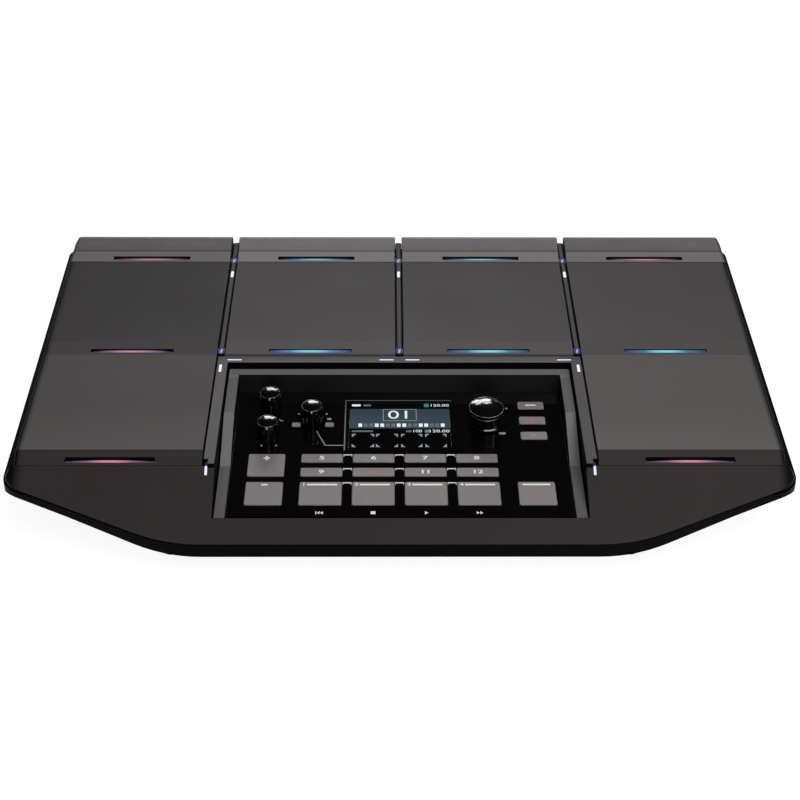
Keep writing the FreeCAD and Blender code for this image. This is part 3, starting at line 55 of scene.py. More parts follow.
# Places along the slope, in millimetres
MIDDLE_FRONT = 99.7      # front edge of the middle row of pads
BAR_CREASE = 222.5       # where the front face of a rear bar meets its top
BAR_BACK = 235.6         # where the top of a rear bar turns down
RAMP_TOP = 45.0          # where the bezel's side rails start to slope down
RAMP_FOOT = 4.7          # front end of that slope


def on_slope(x, v, w):
    """World place of a point given in the sloping frame, in millimetres."""
    return SLOPE @ Vector((x * MM, v * MM, w * MM))


def sloped_box(node):
    """Lowest and highest x, v and w of a CAD node, in millimetres, in the sloping frame."""
    back = SLOPE.inverted()
    points = [back @ vertex.co for vertex in frame["nodes"][node].data.vertices]
    low = [min(p[i] for p in points) / MM for i in range(3)]
    high = [max(p[i] for p in points) / MM for i in range(3)]
    return low, high


def body_of(node):
    """Name of the body that carries a CAD node."""
    for body, nodes in frame["record"]["behaviour"]["bodies"].items():
        if node in nodes:
            return body
    return HOUSING


def grey(level):
    """Linear value of a grey given from 0 to 255 as it shows on a screen."""
    share = level / 255
    return share / 12.92 if share <= 0.04045 else ((share + 0.055) / 1.055) ** 2.4


def colour(red, green, blue):
    return (grey(red), grey(green), grey(blue), 1.0)


# Grey levels of the main surfaces, from 0 to 255

PAD = 72
APRON = 53
# The strips' grey is painted light on the frame's flat tops; darker steps of it are painted shade on the
# right strip and the dividers' tops
STRIP_LIT = 99
BEZEL = 106


# Node materials

class Nodes:
    """A material's node tree with short ways to add and link nodes."""

    def __init__(self, name):
        self.material = bpy.data.materials.new(name)
        self.material.use_nodes = True
        self.tree = self.material.node_tree
        self.shader = self.tree.nodes["Principled BSDF"]

    def add(self, kind, **settings):
        node = self.tree.nodes.new(kind)
        for key, value in settings.items():
            setattr(node, key, value)
        return node

    def link(self, source, target):
        self.tree.links.new(source, target)

    def math(self, operation, first, second=None, third=None, clamp=False):
        node = self.add("ShaderNodeMath", operation=operation, use_clamp=clamp)
        for index, value in enumerate((first, second, third)):
            if value is None:
                continue
            if isinstance(value, (int, float)):
                node.inputs[index].default_value = value
            else:
                self.link(value, node.inputs[index])
        return node.outputs[0]

    def mix(self, factor, first, second):
        node = self.add("ShaderNodeMix", data_type="RGBA")
        for socket, value in ((node.inputs[0], factor), (node.inputs[6], first), (node.inputs[7], second)):
            if isinstance(value, (int, float, tuple)):
                socket.default_value = value
            else:
                self.link(value, socket)
        return node.outputs[2]

    def noise(self, coordinates, scale, detail=2.0, roughness=0.5):
        node = self.add("ShaderNodeTexNoise")
        node.inputs["Scale"].default_value = scale
        node.inputs["Detail"].default_value = detail
        node.inputs["Roughness"].default_value = roughness
        self.link(coordinates, node.inputs["Vector"])
        return node.outputs[0]

    def range(self, value, low, high, to_low=0.0, to_high=1.0):
        node = self.add("ShaderNodeMapRange")
        self.link(value, node.inputs[0])
        node.inputs[1].default_value = low
        node.inputs[2].default_value = high
        node.inputs[3].default_value = to_low
        node.inputs[4].default_value = to_high
        return node.outputs[0]

    def bump(self, height, distance):
        node = self.add("ShaderNodeBump")
        node.inputs["Distance"].default_value = distance
        self.link(height, node.inputs["Height"])
        self.link(node.outputs[0], self.shader.inputs["Normal"])

    def place(self):
        return self.add("ShaderNodeTexCoord").outputs["Object"]

    def measure(self, direction):
        """Place along a direction of the sloping frame, in millimetres from its origin."""
        node = self.add("ShaderNodeVectorMath", operation="DOT_PRODUCT")
        self.link(self.place(), node.inputs[0])
        node.inputs[1].default_value = tuple(direction)
        offset = -direction.dot(SLOPE_ORIGIN) / MM
        return self.math("MULTIPLY_ADD", node.outputs["Value"], 1 / MM, offset)

    def base(self):
        return self.shader.inputs["Base Color"].links[0].from_socket

    def paint(self, socket):
        self.link(socket, self.shader.inputs["Base Color"])

    def facing(self, direction):
        """Cosine of the angle between the surface and a fixed direction."""
        node = self.add("ShaderNodeVectorMath", operation="DOT_PRODUCT")
        self.link(self.add("ShaderNodeNewGeometry").outputs["True Normal"], node.inputs[0])
        node.inputs[1].default_value = direction
        return node.outputs["Value"]


def plastic(name, dark, light, roughness, grain_scale, grain_depth, mottle, specular):
    """Moulded plastic or rubber: fine grain in the surface and slow changes of tone."""
    n = Nodes(name)
    place = n.place()
    slow = n.noise(place, mottle, 3.0)
    fine = n.noise(place, grain_scale, 2.0, 0.6)
    tone = n.math("ADD", n.math("MULTIPLY", slow, 0.65), n.math("MULTIPLY", fine, 0.35))
    spread = n.range(tone, 0.3, 0.7)
    n.link(n.mix(spread, dark, light), n.shader.inputs["Base Color"])
    n.link(n.range(slow, 0.3, 0.7, roughness - 0.05, roughness + 0.05), n.shader.inputs["Roughness"])
    n.shader.inputs["Specular IOR Level"].default_value = specular
    n.bump(fine, grain_depth * MM)
    return n


# Black used as painted shade on walls, in slots, on the deck and at the outer edges
SHADE_BLACK = colour(4, 4, 4)


def tinted(level):
    """The faintly warm grey of the instrument's matt surfaces."""
    return colour(level + 1, level - 1, level - 2)


def paint_side_shade(n, edge, span=4.5):
    """Painted shade: black on walls that face sideways, with a soft painted shade towards the outer edge of
    the instrument.
    """
    side = n.math("ABSOLUTE", n.facing(tuple(ACROSS)))
    out = n.math("ABSOLUTE", n.measure(ACROSS))
    shade = n.math("POWER", n.range(out, edge - span, edge - 1.0), 1.5)
    n.paint(n.mix(n.math("MAXIMUM", n.range(side, 0.25, 0.6), shade), n.base(), SHADE_BLACK))


def paint_slot_shade(n):
    """Painted shade: black on walls that face away from up, as inside the slots; the front wall of the second
    row is painted paler instead, as painted light.
    """
    along = n.measure(ALONG)
    front = n.range(n.math("ABSOLUTE", n.math("SUBTRACT", along, MIDDLE_FRONT + 0.3)), 0.3, 0.2)
    n.paint(n.mix(n.range(n.facing(tuple(UP)), 0.35, 0.7), SHADE_BLACK, n.base()))
    n.paint(n.mix(front, n.base(), tinted(PAD + 16)))


def pad_rubber(level, lift=17):
    """Pads: matt rubber with painted light and shade: paler towards the player, the front facet of the middle
    row paler, the steep front edge of the front row darker like the apron, and black painted shade on walls
    and slots.
    """
    n = plastic("pad_rubber_%d_%d" % (level, lift), tinted(level - 4), tinted(level + 4),
                0.62, 1500.0, 0.05, 22.0, 0.08)
    along = n.measure(ALONG)
    # Painted light: paler towards the player over the middle row, and again at the front of the front row
    n.paint(n.mix(n.range(along, 170.0, 116.0), n.base(), tinted(level + 5)))
    n.paint(n.mix(n.range(along, 42.0, 4.0), n.base(), tinted(level + 13)))
    # Painted light: the front facet of the middle row paler
    facet = n.math("MULTIPLY", n.range(along, MIDDLE_FRONT - 0.7, MIDDLE_FRONT - 0.2),
                   n.range(along, MIDDLE_FRONT + 13.2, MIDDLE_FRONT + 12.8))
    n.paint(n.mix(facet, n.base(), tinted(level + lift)))
    # Painted shade: the steep front edge of the front row darker, in the apron's grey
    n.paint(n.mix(n.range(along, 0.1, -0.1), n.base(), tinted(APRON + 2)))
    paint_slot_shade(n)
    paint_side_shade(n, 233.0)
    return n.material


def bar_rubber(level):
    """Rear bars: the same rubber with a fine dotted texture, and painted light and shade: darker behind the
    crease, paler in front of it, a dark line in the crease and a dark rear edge.
    """
    n = plastic("bar_rubber_%d" % level, tinted(level - 6), tinted(level + 6), 0.6, 1500.0, 0.05, 30.0, 0.2)
    along = n.measure(ALONG)
    # Painted light and shade: darker just behind the crease, paler in front of it, a dark crease line and a
    # dark rear edge
    n.paint(n.mix(n.range(along, BAR_CREASE + 5.5, BAR_CREASE + 0.1), n.base(), tinted(level - 8)))
    n.paint(n.mix(n.range(along, BAR_CREASE + 0.1, BAR_CREASE - 0.3), n.base(), tinted(level + 12)))
    crease = n.range(n.math("ABSOLUTE", n.math("SUBTRACT", along, BAR_CREASE)), 0.8, 0.25)
    n.paint(n.mix(n.math("MULTIPLY", crease, 0.65), n.base(), tinted(40)))
    n.paint(n.mix(n.range(along, BAR_BACK, BAR_BACK + 2.6), n.base(), tinted(30)))
    paint_slot_shade(n)
    paint_side_shade(n, 236.0)
    dots = n.add("ShaderNodeTexVoronoi", feature="F1")
    dots.inputs["Scale"].default_value = 900.0
    dots.inputs["Randomness"].default_value = 0.1
    n.link(n.place(), dots.inputs["Vector"])
    n.bump(dots.outputs["Distance"], 0.16 * MM)
    return n.material


def frame_plastic():
    """Top frame: dark apron; paler tops of the dividers and the strips as painted light; the dividers' tops
    less pale with black edges, the right strip darker, and black walls, deck and outer edge as painted shade.
    """
    n = plastic("frame_plastic", tinted(APRON - 3), tinted(APRON + 3), 0.6, 2400.0, 0.015, 16.0, 0.07)
    up = n.facing(tuple(UP))
    height = n.measure(UP)
    across = n.measure(ACROSS)
    off_centre = n.math("PINGPONG", across, PITCH / 2)
    # Painted light on the flat tops of strips and dividers; painted shade: dividers' tops less pale with
    # black edges, right strip darker, deck black
    divider = n.range(height, -1.0, -0.4)
    edge = n.math("MULTIPLY", divider, n.range(off_centre, 1.0, 1.25))
    strip = n.mix(n.range(across, 108.0, 112.0), tinted(STRIP_LIT), tinted(STRIP_LIT - 13))
    tops = n.mix(edge, n.mix(divider, strip, tinted(STRIP_LIT - 24)), SHADE_BLACK)
    tops = n.mix(n.range(height, -6.0, -4.0), SHADE_BLACK, tops)
    n.paint(n.mix(n.range(up, 0.955, 0.985), n.base(), tops))
    # Painted shade: black on walls
    n.paint(n.mix(n.range(up, 0.55, 0.85), SHADE_BLACK, n.base()))
    paint_side_shade(n, 234.5, 9.0)
    return n.material


def case_plastic():
    """Lower case: nearly black moulded plastic."""
    n = plastic("case_plastic", colour(3, 3, 3), colour(6, 6, 6), 0.5, 2400.0, 0.015, 16.0, 0.04)
    return n.material


def bezel_plastic():
    """Bezel: grey on top, with painted light and shade: darker side rails and a paler rear rail, a paler
    slope with a darker foot, and black painted shade on the walls round the panel.
    """
    n = plastic("bezel_plastic", tinted(BEZEL - 4), tinted(BEZEL + 4), 0.5, 2200.0, 0.02, 24.0, 0.2)
    up = n.facing(tuple(UP))
    along = n.measure(ALONG)
    # Painted light and shade: side rails darker and rear rail paler, the slope paler and its front foot
    # darker
    n.paint(n.mix(n.range(along, 80.0, 84.0), tinted(BEZEL - 23), tinted(BEZEL + 7)))
    n.paint(n.mix(n.range(along, RAMP_TOP + 0.3, RAMP_TOP - 0.3), n.base(), tinted(BEZEL + 14)))
    n.paint(n.mix(n.range(along, RAMP_FOOT + 0.3, RAMP_FOOT - 0.3), n.base(), tinted(BEZEL - 20)))
    # Painted shade: black on the walls round the panel
    n.paint(n.mix(n.range(up, 0.55, 0.85), SHADE_BLACK, n.base()))
    return n.material


def gloss_black(name, level, roughness, coat=0.0):
    """Polished black plastic or glass with faint smudges."""
    n = Nodes(name)
    smudge = n.noise(n.place(), 60.0, 4.0)
    n.link(n.mix(smudge, colour(level - 2, level - 2, level - 2), colour(level + 2, level + 2, level + 2)),
           n.shader.inputs["Base Color"])
    n.link(n.range(smudge, 0.3, 0.7, roughness * 0.8, roughness * 1.3), n.shader.inputs["Roughness"])
    n.shader.inputs["Coat Weight"].default_value = coat
    return n.material


def button_rubber():
    """Translucent warm grey silicone, a little paler where it is thin at the rim."""
    n = plastic("button_rubber", colour(124, 118, 117), colour(134, 128, 127),
                0.55, 1800.0, 0.015, 90.0, 0.35)
    n.shader.inputs["Subsurface Weight"].default_value = 0.12
    n.shader.inputs["Subsurface Radius"].default_value = (1.2 * MM, 1.0 * MM, 0.9 * MM)
    n.shader.inputs["Subsurface Scale"].default_value = 1.0
    return n.material


def glow(name, tone, strength):
    """Evenly lit plastic with a faint change of brightness over its face."""
    n = Nodes(name)
    noise = n.noise(n.place(), 300.0)
    n.shader.inputs["Base Color"].default_value = (0.002, 0.002, 0.002, 1)
    n.shader.inputs["Specular IOR Level"].default_value = 0.1
    n.shader.inputs["Emission Color"].default_value = tone
    n.link(n.range(noise, 0.3, 0.7, strength * 0.92, strength), n.shader.inputs["Emission Strength"])
    n.shader.inputs["Roughness"].default_value = 0.4
    return n.material


def slot_light(name, centre, middle, end, low, gain, lip):
    """Light behind a slot: a lens of light, brightest in the middle, that fades along the slot.

    The lens ends at low + gain times the bulge, as a share of the slot's depth, and lip is how
    brightly the front edge glows along its whole length, a painted highlight of the light on the slot's front
    lip.
    """
    n = Nodes(name)
    split = n.add("ShaderNodeSeparateXYZ")
    n.link(n.add("ShaderNodeTexCoord").outputs["Generated"], split.inputs[0])
    across = n.math("MULTIPLY_ADD", split.outputs[0], 2.0, -1.0)
    squared = n.math("MULTIPLY", across, across)
    ramp = n.add("ShaderNodeValToRGB")
    ramp.color_ramp.elements[0].color = centre
    ramp.color_ramp.elements[0].position = 0.0
    ramp.color_ramp.elements[1].color = end
    ramp.color_ramp.elements[1].position = 0.8
    stop = ramp.color_ramp.elements.new(0.25)
    stop.color = middle
    n.link(squared, ramp.inputs[0])
    bulge = n.math("SQRT", n.math("SUBTRACT", 1.0, squared, clamp=True))
    inside = n.math("SUBTRACT", n.math("MULTIPLY_ADD", bulge, gain, low), split.outputs[1])
    lens = n.math("MULTIPLY", n.range(inside, -0.06, 0.14), n.math("MULTIPLY_ADD", bulge, 0.5, 0.5))
    # Painted highlight: the front edge of the slot glows along its whole length
    strip = n.math("MULTIPLY", n.range(split.outputs[1], 0.42, 0.3), lip)
    n.link(ramp.outputs[0], n.shader.inputs["Emission Color"])
    n.link(n.math("MAXIMUM", lens, strip), n.shader.inputs["Emission Strength"])
    n.shader.inputs["Base Color"].default_value = (0.002, 0.002, 0.002, 1)
    n.shader.inputs["Roughness"].default_value = 0.5
    n.shader.inputs["Specular IOR Level"].default_value = 0.1
    return n.material


def plain(name, tone, roughness, metallic=0.0):
    """One tone with a fine speckle in colour, roughness and surface."""
    n = Nodes(name)
    noise = n.noise(n.place(), 400.0, 3.0)
    darker = tuple(c * 0.8 for c in tone[:3]) + (1,)
    n.link(n.mix(noise, darker, tone), n.shader.inputs["Base Color"])
    n.link(n.range(noise, 0.3, 0.7, roughness * 0.85, roughness * 1.15), n.shader.inputs["Roughness"])
    n.shader.inputs["Metallic"].default_value = metallic
    n.bump(noise, 0.01 * MM)
    return n.material


MATERIALS = {
    "frame": frame_plastic(),
    "case": case_plastic(),
    "bezel": bezel_plastic(),
    "panel": gloss_black("panel_acrylic", 5, 0.04),
    "display": gloss_black("display_glass", 5, 0.03),
    "knob": gloss_black("knob_gloss", 7, 0.14, 0.3),
    "button": button_rubber(),
    "print": plain("white_print", colour(246, 246, 244), 0.5),
    "faint_print": plain("grey_print", colour(150, 150, 150), 0.5),
    "red_print": plain("red_print", colour(214, 96, 96), 0.5),
    "white_light": glow("white_window", colour(246, 243, 255), 1.0),
    "blue_light": glow("blue_window", colour(40, 34, 112), 1.0),
    "violet_light": glow("violet_window", colour(166, 156, 226), 1.0),
    "window_edge": gloss_black("window_edge", 4, 0.3),
    "gap_shade": plain("painted_gap_shade", colour(6, 6, 6), 0.7),
    "glint": plain("rim_highlight_metal", colour(150, 148, 146), 0.25, 1.0),
    "board": plain("board_green", colour(24, 74, 44), 0.45),
    "metal": plain("plated_metal", colour(186, 186, 184), 0.3, 1.0),
    "brass": plain("turned_brass", colour(196, 160, 92), 0.35, 1.0),
    "dark_part": plain("dark_part", colour(30, 30, 32), 0.5),
    "foot": plain("foot_rubber", colour(24, 24, 25), 0.8),
    "foam": plain("cushion_foam", colour(50, 50, 52), 0.95),
    "film": plain("sensor_film", colour(150, 110, 50), 0.5),
    "screen_band": glow("screen_band", colour(36, 56, 68), 1.0),
    "screen_white": glow("screen_white", colour(232, 240, 242), 1.0),
    "screen_grey": glow("screen_grey", colour(132, 146, 152), 1.0),
    "screen_dim": glow("screen_dim", colour(84, 104, 114), 1.0),
    "screen_green": glow("screen_green", colour(52, 140, 116), 1.0),
    "screen_edge": plain("screen_edge", colour(112, 110, 108), 0.5),
}

# Grey of each pad's rubber, set per pad as painted light and shade: a little darker at the rear left than at
# the front right, and darker at the ends of the rear bars
pad_tone_with_painted_light = {
    "rear_pad_1": 103, "rear_pad_2": 119, "rear_pad_3": 113, "rear_pad_4": 104,
    "middle_pad_1": 57, "middle_pad_2": 72, "middle_pad_3": 71, "middle_pad_4": 73,
    "front_pad_1": 76, "front_pad_2": 83,
}
for name, level in pad_tone_with_painted_light.items():
    if name.startswith("rear"):
        MATERIALS[name] = bar_rubber(level)
    else:
        MATERIALS[name] = pad_rubber(level, 9 if name == "middle_pad_4" else 17)

node_material = {
    "lower_case": "case", "top_frame": "frame", "panel_bezel": "bezel", "control_panel": "panel",
    "display_window": "display", "display_module": "metal", "panel_board": "board", "main_board": "board",
    "jack_board": "board", "button_switches": "dark_part", "knob_controls": "metal", "dial_encoder": "metal",
    "audio_jacks": "metal", "midi_jacks": "dark_part", "usb_socket": "metal", "power_inlet": "dark_part",
    "rubber_feet": "foot", "case_screws": "metal", "stand_inserts": "brass", "pad_sensors": "film",
    "pad_cushions": "foam", "pad_light_bars": "dark_part", "frame_light_windows": "white_light",
    "dial_knob": "knob", "dial_spindle": "metal", "dial_plunger": "dark_part", "power_button": "dark_part",
    "volume_knob": "knob", "phones_knob": "knob", "value_knob": "knob",
}
for name, piece in frame["nodes"].items():
    key = node_material.get(name)
    if key is None:
        key = name if name in pad_tone_with_painted_light else "button"
    piece.data.materials.clear()
    piece.data.materials.append(MATERIALS[key])


# Helpers that build pieces

def add_piece(name, mesh, material, body):
    piece = bpy.data.objects.new(name, mesh)
    bpy.context.scene.collection.objects.link(piece)
    piece.data.materials.append(MATERIALS[material] if isinstance(material, str) else material)
    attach(piece, body)
    return piece


def prism_mesh(name, outlines, base, height):
    """Closed prisms on the slope from outlines in x and v, between two levels of w."""
    mesh = bpy.data.meshes.new(name)
    shape = bmesh.new()
    for outline in outlines:
        low = [shape.verts.new(on_slope(x, v, base)) for x, v in outline]
        high = [shape.verts.new(on_slope(x, v, base + height)) for x, v in outline]
        count = len(outline)
        shape.faces.new(high)
        shape.faces.new(low[::-1])
        for i in range(count):
            j = (i + 1) % count
            shape.faces.new((low[i], low[j], high[j], high[i]))
    bmesh.ops.recalc_face_normals(shape, faces=shape.faces)
    shape.to_mesh(mesh)
    shape.free()
    return mesh


def prisms(name, outlines, base, material, body=HOUSING, height=FILM):
    return add_piece(name, prism_mesh(name, outlines, base, height), material, body)


def block(x0, x1, v0, v1):
    """Outline of a rectangle."""
    return [(x0, v0), (x1, v0), (x1, v1), (x0, v1)]


def rounded(x0, x1, v0, v1, radius, steps=6):
    """Outline of a rectangle with rounded corners."""
    points = []
    corners = ((x1 - radius, v0 + radius, -90), (x1 - radius, v1 - radius, 0),
               (x0 + radius, v1 - radius, 90), (x0 + radius, v0 + radius, 180))
    for cx, cv, start in corners:
        for i in range(steps + 1):
            angle = math.radians(start + 90 * i / steps)
            points.append((cx + radius * math.cos(angle), cv + radius * math.sin(angle)))
    return points


def ring(cx, cv, radius, count=24):
    """Outline of a round spot."""
    turns = [2 * math.pi * i / count for i in range(count)]
    return [(cx + radius * math.cos(turn), cv + radius * math.sin(turn)) for turn in turns]


def numeral(name, text, x, v, w, height, material, body=HOUSING, stretch=1.15, weight=0.0):
    """Plain number lying on the slope, centred on x and v, as high as given in millimetres."""
    curve = bpy.data.curves.new(name + "_curve", "FONT")
    curve.body = text
    curve.align_x = "CENTER"
    curve.align_y = "CENTER"
    curve.resolution_u = 4
    curve.size = height * 1.38
    curve.extrude = FILM / 2
    curve.offset = weight
    flat = bpy.data.objects.new(name + "_flat", curve)
    bpy.context.scene.collection.objects.link(flat)
    bpy.context.view_layer.update()
    mesh = bpy.data.meshes.new_from_object(flat)
    bpy.data.objects.remove(flat)
    mesh.name = name
    turn = SLOPE @ Matrix.Translation(Vector((x * MM, v * MM, (w + FILM / 2) * MM)))
    mesh.transform(turn @ Matrix.Diagonal((MM * stretch, MM, MM, 1.0)))
    mesh.materials.clear()
    return add_piece(name, mesh, material, body)


# Lights behind the slots of the pads

ROSE = (colour(206, 128, 150), colour(150, 96, 124), colour(58, 48, 56))
AQUA = (colour(122, 196, 198), colour(66, 120, 190), colour(44, 50, 84))
PINK = (colour(200, 126, 166), colour(158, 104, 146), colour(84, 62, 76))
CYAN = (colour(104, 208, 224), colour(62, 138, 200), colour(62, 78, 146))
SKY = (colour(112, 214, 236), colour(62, 126, 192), colour(62, 88, 134))
WARM = (colour(212, 136, 164), colour(132, 98, 122), colour(84, 84, 100))
REAR_LENS = (0.37, 0.63, 0.0)
MIDDLE_LENS = (0.5, 0.6, 0.0)
NARROW_LENS = (0.05, 0.75, 0.0)
FRONT_LENS = (0.12, 0.6, 0.75)
slots = {
    "rear_pad_1": (ROSE, REAR_LENS, 0.0), "rear_pad_2": (AQUA, REAR_LENS, 0.0),
    "rear_pad_3": (AQUA, REAR_LENS, 0.0), "rear_pad_4": (ROSE, REAR_LENS, 0.0),
    "middle_pad_1": (PINK, NARROW_LENS, 0.5), "middle_pad_2": (CYAN, MIDDLE_LENS, 0.9),
    "middle_pad_3": (SKY, MIDDLE_LENS, 0.9), "middle_pad_4": (SKY, MIDDLE_LENS, 0.9),
    "front_pad_1": (WARM, FRONT_LENS, 0.0), "front_pad_2": (WARM, FRONT_LENS, 0.0),
}
back = SLOPE.inverted()
bar_points = [back @ vertex.co / MM for vertex in frame["nodes"]["pad_light_bars"].data.vertices]
for pad, (tones, lens, rise) in slots.items():
    low, high = sloped_box(pad)
    inside = [p for p in bar_points if low[0] < p.x < high[0] and low[1] < p.y < high[1]]
    x0, x1 = min(p.x for p in inside), max(p.x for p in inside)
    v0, v1 = min(p.y for p in inside), max(p.y for p in inside)
    w0, w1 = min(p.z for p in inside), max(p.z for p in inside) + rise
    material = slot_light("light_" + pad, *tones, *lens)
    bar = prisms("slot_light_" + pad, [rounded(x0, x1, v0, v1, 0.8)], w0, material, HOUSING, w1 - w0)
    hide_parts("pad_light_bars")


# Small light windows in the dividers and the crossbar

window_points = [back @ vertex.co / MM for vertex in frame["nodes"]["frame_light_windows"].data.vertices]


def window(name, cx, cv, reach, edge, core, core_half, core_ends, lean=0.0, spread=0.0):
    """Lit window at the place of the CAD window nearest to cx and cv: a lit core in a darker surround."""
    near = [p for p in window_points if abs(p.x - cx) < reach[0] and abs(p.y - cv) < reach[1]]
    x0, x1 = min(p.x for p in near), max(p.x for p in near)
    v0, v1 = min(p.y for p in near), max(p.y for p in near)
    w0, w1 = min(p.z for p in near), max(p.z for p in near)
    half = max((x1 - x0) / 2, spread)
    centre = (x0 + x1) / 2
    outline = rounded(centre - half, centre + half, v0, v1, min(x1 - x0, v1 - v0) * 0.3)
    base = w1 - 0.6 if spread else w0
    around = prisms(name, [outline], base, edge, HOUSING, w1 - base + 0.03)
    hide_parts("frame_light_windows")
    v2, v3 = v0 + core_ends[0], v1 - core_ends[1]
    radius = min(core_half, (v3 - v2) / 2) * 0.9
    outline = [(x + lean * ((v - v2) / (v3 - v2) - 0.5), v)
               for x, v in rounded(centre - core_half, centre + core_half, v2, v3, radius)]
    lit = prisms(name + "_core", [outline], w1 + 0.03, core)


for i, cx in enumerate((-PITCH, 0.0, PITCH)):
    window("window_rear_%d" % i, cx, 196.8, (3, 6), "window_edge", "white_light", 0.95, (0.1, 0.9))
    window("window_notch_%d" % i, cx, 214.8, (3, 5), "blue_light", "violet_light", 0.65, (0.3, 0.9), 0.6,
           2.25)
    window("window_step_%d" % i, cx, 103.45, (3, 5), "blue_light", "violet_light", 0.65, (0.1, 0.9), 0.6,
           2.25)
for i, hand in enumerate((-1, 1)):
    window("window_side_%d" % i, (PITCH - 0.6) * hand, 86.1, (3, 7), "window_edge", "white_light",
           0.9, (0.4, 0.3))
    for j, cx in enumerate((107.9, 8.5)):
        cx *= hand
        window("window_bar_%d_%d" % (i, j), cx, 95.65, (6, 2), "white_light", "white_light", 4.4, (0.05, 0.1))
        prisms("window_bar_shade_%d_%d" % (i, j), [rounded(cx - 4.7, cx + 4.7, 96.2, 97.2, 0.4)],
               -1.5, "blue_light")


def bevelled_window(name, cx, v0, v1, base, half, material, lift):
    """Window whose top follows the slope of the front edge."""
    slope = math.tan(math.radians(22.73))
    outline = rounded(cx - half, cx + half, v0, v1, half * 0.9)
    mesh = bpy.data.meshes.new(name)
    shape = bmesh.new()
    low = [shape.verts.new(on_slope(x, v, base)) for x, v in outline]
    high = [shape.verts.new(on_slope(x, v, v * slope + lift)) for x, v in outline]
    shape.faces.new(high)
    shape.faces.new(low[::-1])
    for j in range(len(outline)):
        k = (j + 1) % len(outline)
        shape.faces.new((low[j], low[k], high[k], high[j]))
    bmesh.ops.recalc_face_normals(shape, faces=shape.faces)
    shape.to_mesh(mesh)
    shape.free()
    piece = add_piece(name, mesh, material, HOUSING)
    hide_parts("frame_light_windows")


for i, hand in enumerate((-1, 1)):
    cx = (PITCH + 0.2) * hand
    near = [p for p in window_points if abs(p.x - cx) < 3 and -20 < p.y < 0]
    v0, v1 = min(p.y for p in near), max(p.y for p in near)
    w0 = min(p.z for p in near)
    split_v = v1 - (v1 - v0) * 0.3
    bevelled_window("window_front_%d" % i, cx, v0, split_v, w0, 0.7, "white_light", 0.1)
    bevelled_window("window_front_rear_%d" % i, cx, split_v + 0.05, v1, w0, 0.7, "blue_light", 0.1)

# Narrow black blocks in the gaps beside the rear ends of the dividers: painted shade that keeps these gaps
# dark
for i, cx in enumerate((-PITCH, 0.0, PITCH)):
    prisms("divider_gap_shade_%d" % i, [block(cx - 2.25, cx - 1.72, 237.6, 238.9),
                                   block(cx + 1.72, cx + 2.25, 237.6, 238.9)],
           -12.0, "gap_shade", HOUSING, 11.8)


# What the display shows: plain numbers and blocks

SCREEN_W = sloped_box("display_window")[1][2]
INK_W = SCREEN_W + FILM

prisms("screen_edge_line", [block(-34.9, 33.4, 72.9, 73.5), block(-35.2, -34.5, 21.6, 73.5)],
       SCREEN_W, "screen_edge")
prisms("screen_band_block", [block(-32.0, 32.0, 43.9, 64.1)], SCREEN_W, "screen_band")
prisms("screen_number_box", [block(-10.8, -10.35, 51.5, 63.8), block(10.35, 10.8, 51.5, 63.8),
                             block(-10.8, 10.8, 51.5, 51.95), block(-10.8, 10.8, 63.35, 63.8)],
       INK_W, "screen_grey")
numeral("screen_number", "01", 0.0, 57.6, INK_W, 8.6, "screen_white", stretch=1.35)
steps = [block(-26.4 + 3.5 * i, -24.0 + 3.5 * i, 45.4, 48.8) for i in range(16)]
prisms("screen_steps_lit", [step for i, step in enumerate(steps) if i % 4 in (0, 3)], INK_W, "screen_white")
prisms("screen_steps_dim", [step for i, step in enumerate(steps) if i % 4 in (1, 2)], INK_W, "screen_dim")
prisms("screen_header", [block(-30.8, -25.2, 67.0, 69.0)], SCREEN_W, "screen_white")
prisms("screen_header_dim", [block(-23.4, -18.5, 67.0, 69.0), block(-30.4, -17.0, 40.2, 41.7),
                             block(4.0, 7.4, 40.0, 41.8)], SCREEN_W, "screen_dim")
numeral("screen_tempo", "120.00", 25.6, 67.9, SCREEN_W, 2.6, "screen_white", stretch=1.3)
numeral("screen_level", "120.00", 24.8, 41.0, SCREEN_W, 2.8, "screen_white", stretch=1.3)
numeral("screen_count", "100", 10.9, 41.0, SCREEN_W, 2.6, "screen_white", stretch=1.2)
prisms("screen_chips", [block(15.8, 18.8, 66.2, 69.6), block(15.8, 19.0, 39.6, 42.4)],
       SCREEN_W, "screen_green")
brackets = []
for x0, x1 in ((-30.3, -16.3), (-15.1, -1.3), (0.7, 14.0), (15.9, 29.4)):
    for cx, cv, sx, sv in ((x0, 24.9, 1, 1), (x1, 24.9, -1, 1), (x0, 38.1, 1, -1), (x1, 38.1, -1, -1)):
        brackets.append([(cx, cv), (cx + 2.6 * sx, cv), (cx, cv + 3.2 * sv)][::sx * sv])
prisms("screen_brackets", brackets, SCREEN_W, "screen_grey")


# Marks on the buttons and the panel

PANEL_W = sloped_box("control_panel")[1][2]


FLANGE = 0.9             # rim of a button that is hidden under the panel, in millimetres


def cap(name):
    """Visible part of a button: x from and to, v from and to, and the level of its top."""
    low, high = sloped_box(name)
    return low[0] + FLANGE, high[0] - FLANGE, low[1] + FLANGE, high[1] - FLANGE, high[2]


def press_mark(name, button, outlines, material="print"):
    return prisms(name, outlines, cap(button)[4], material, body_of(button))


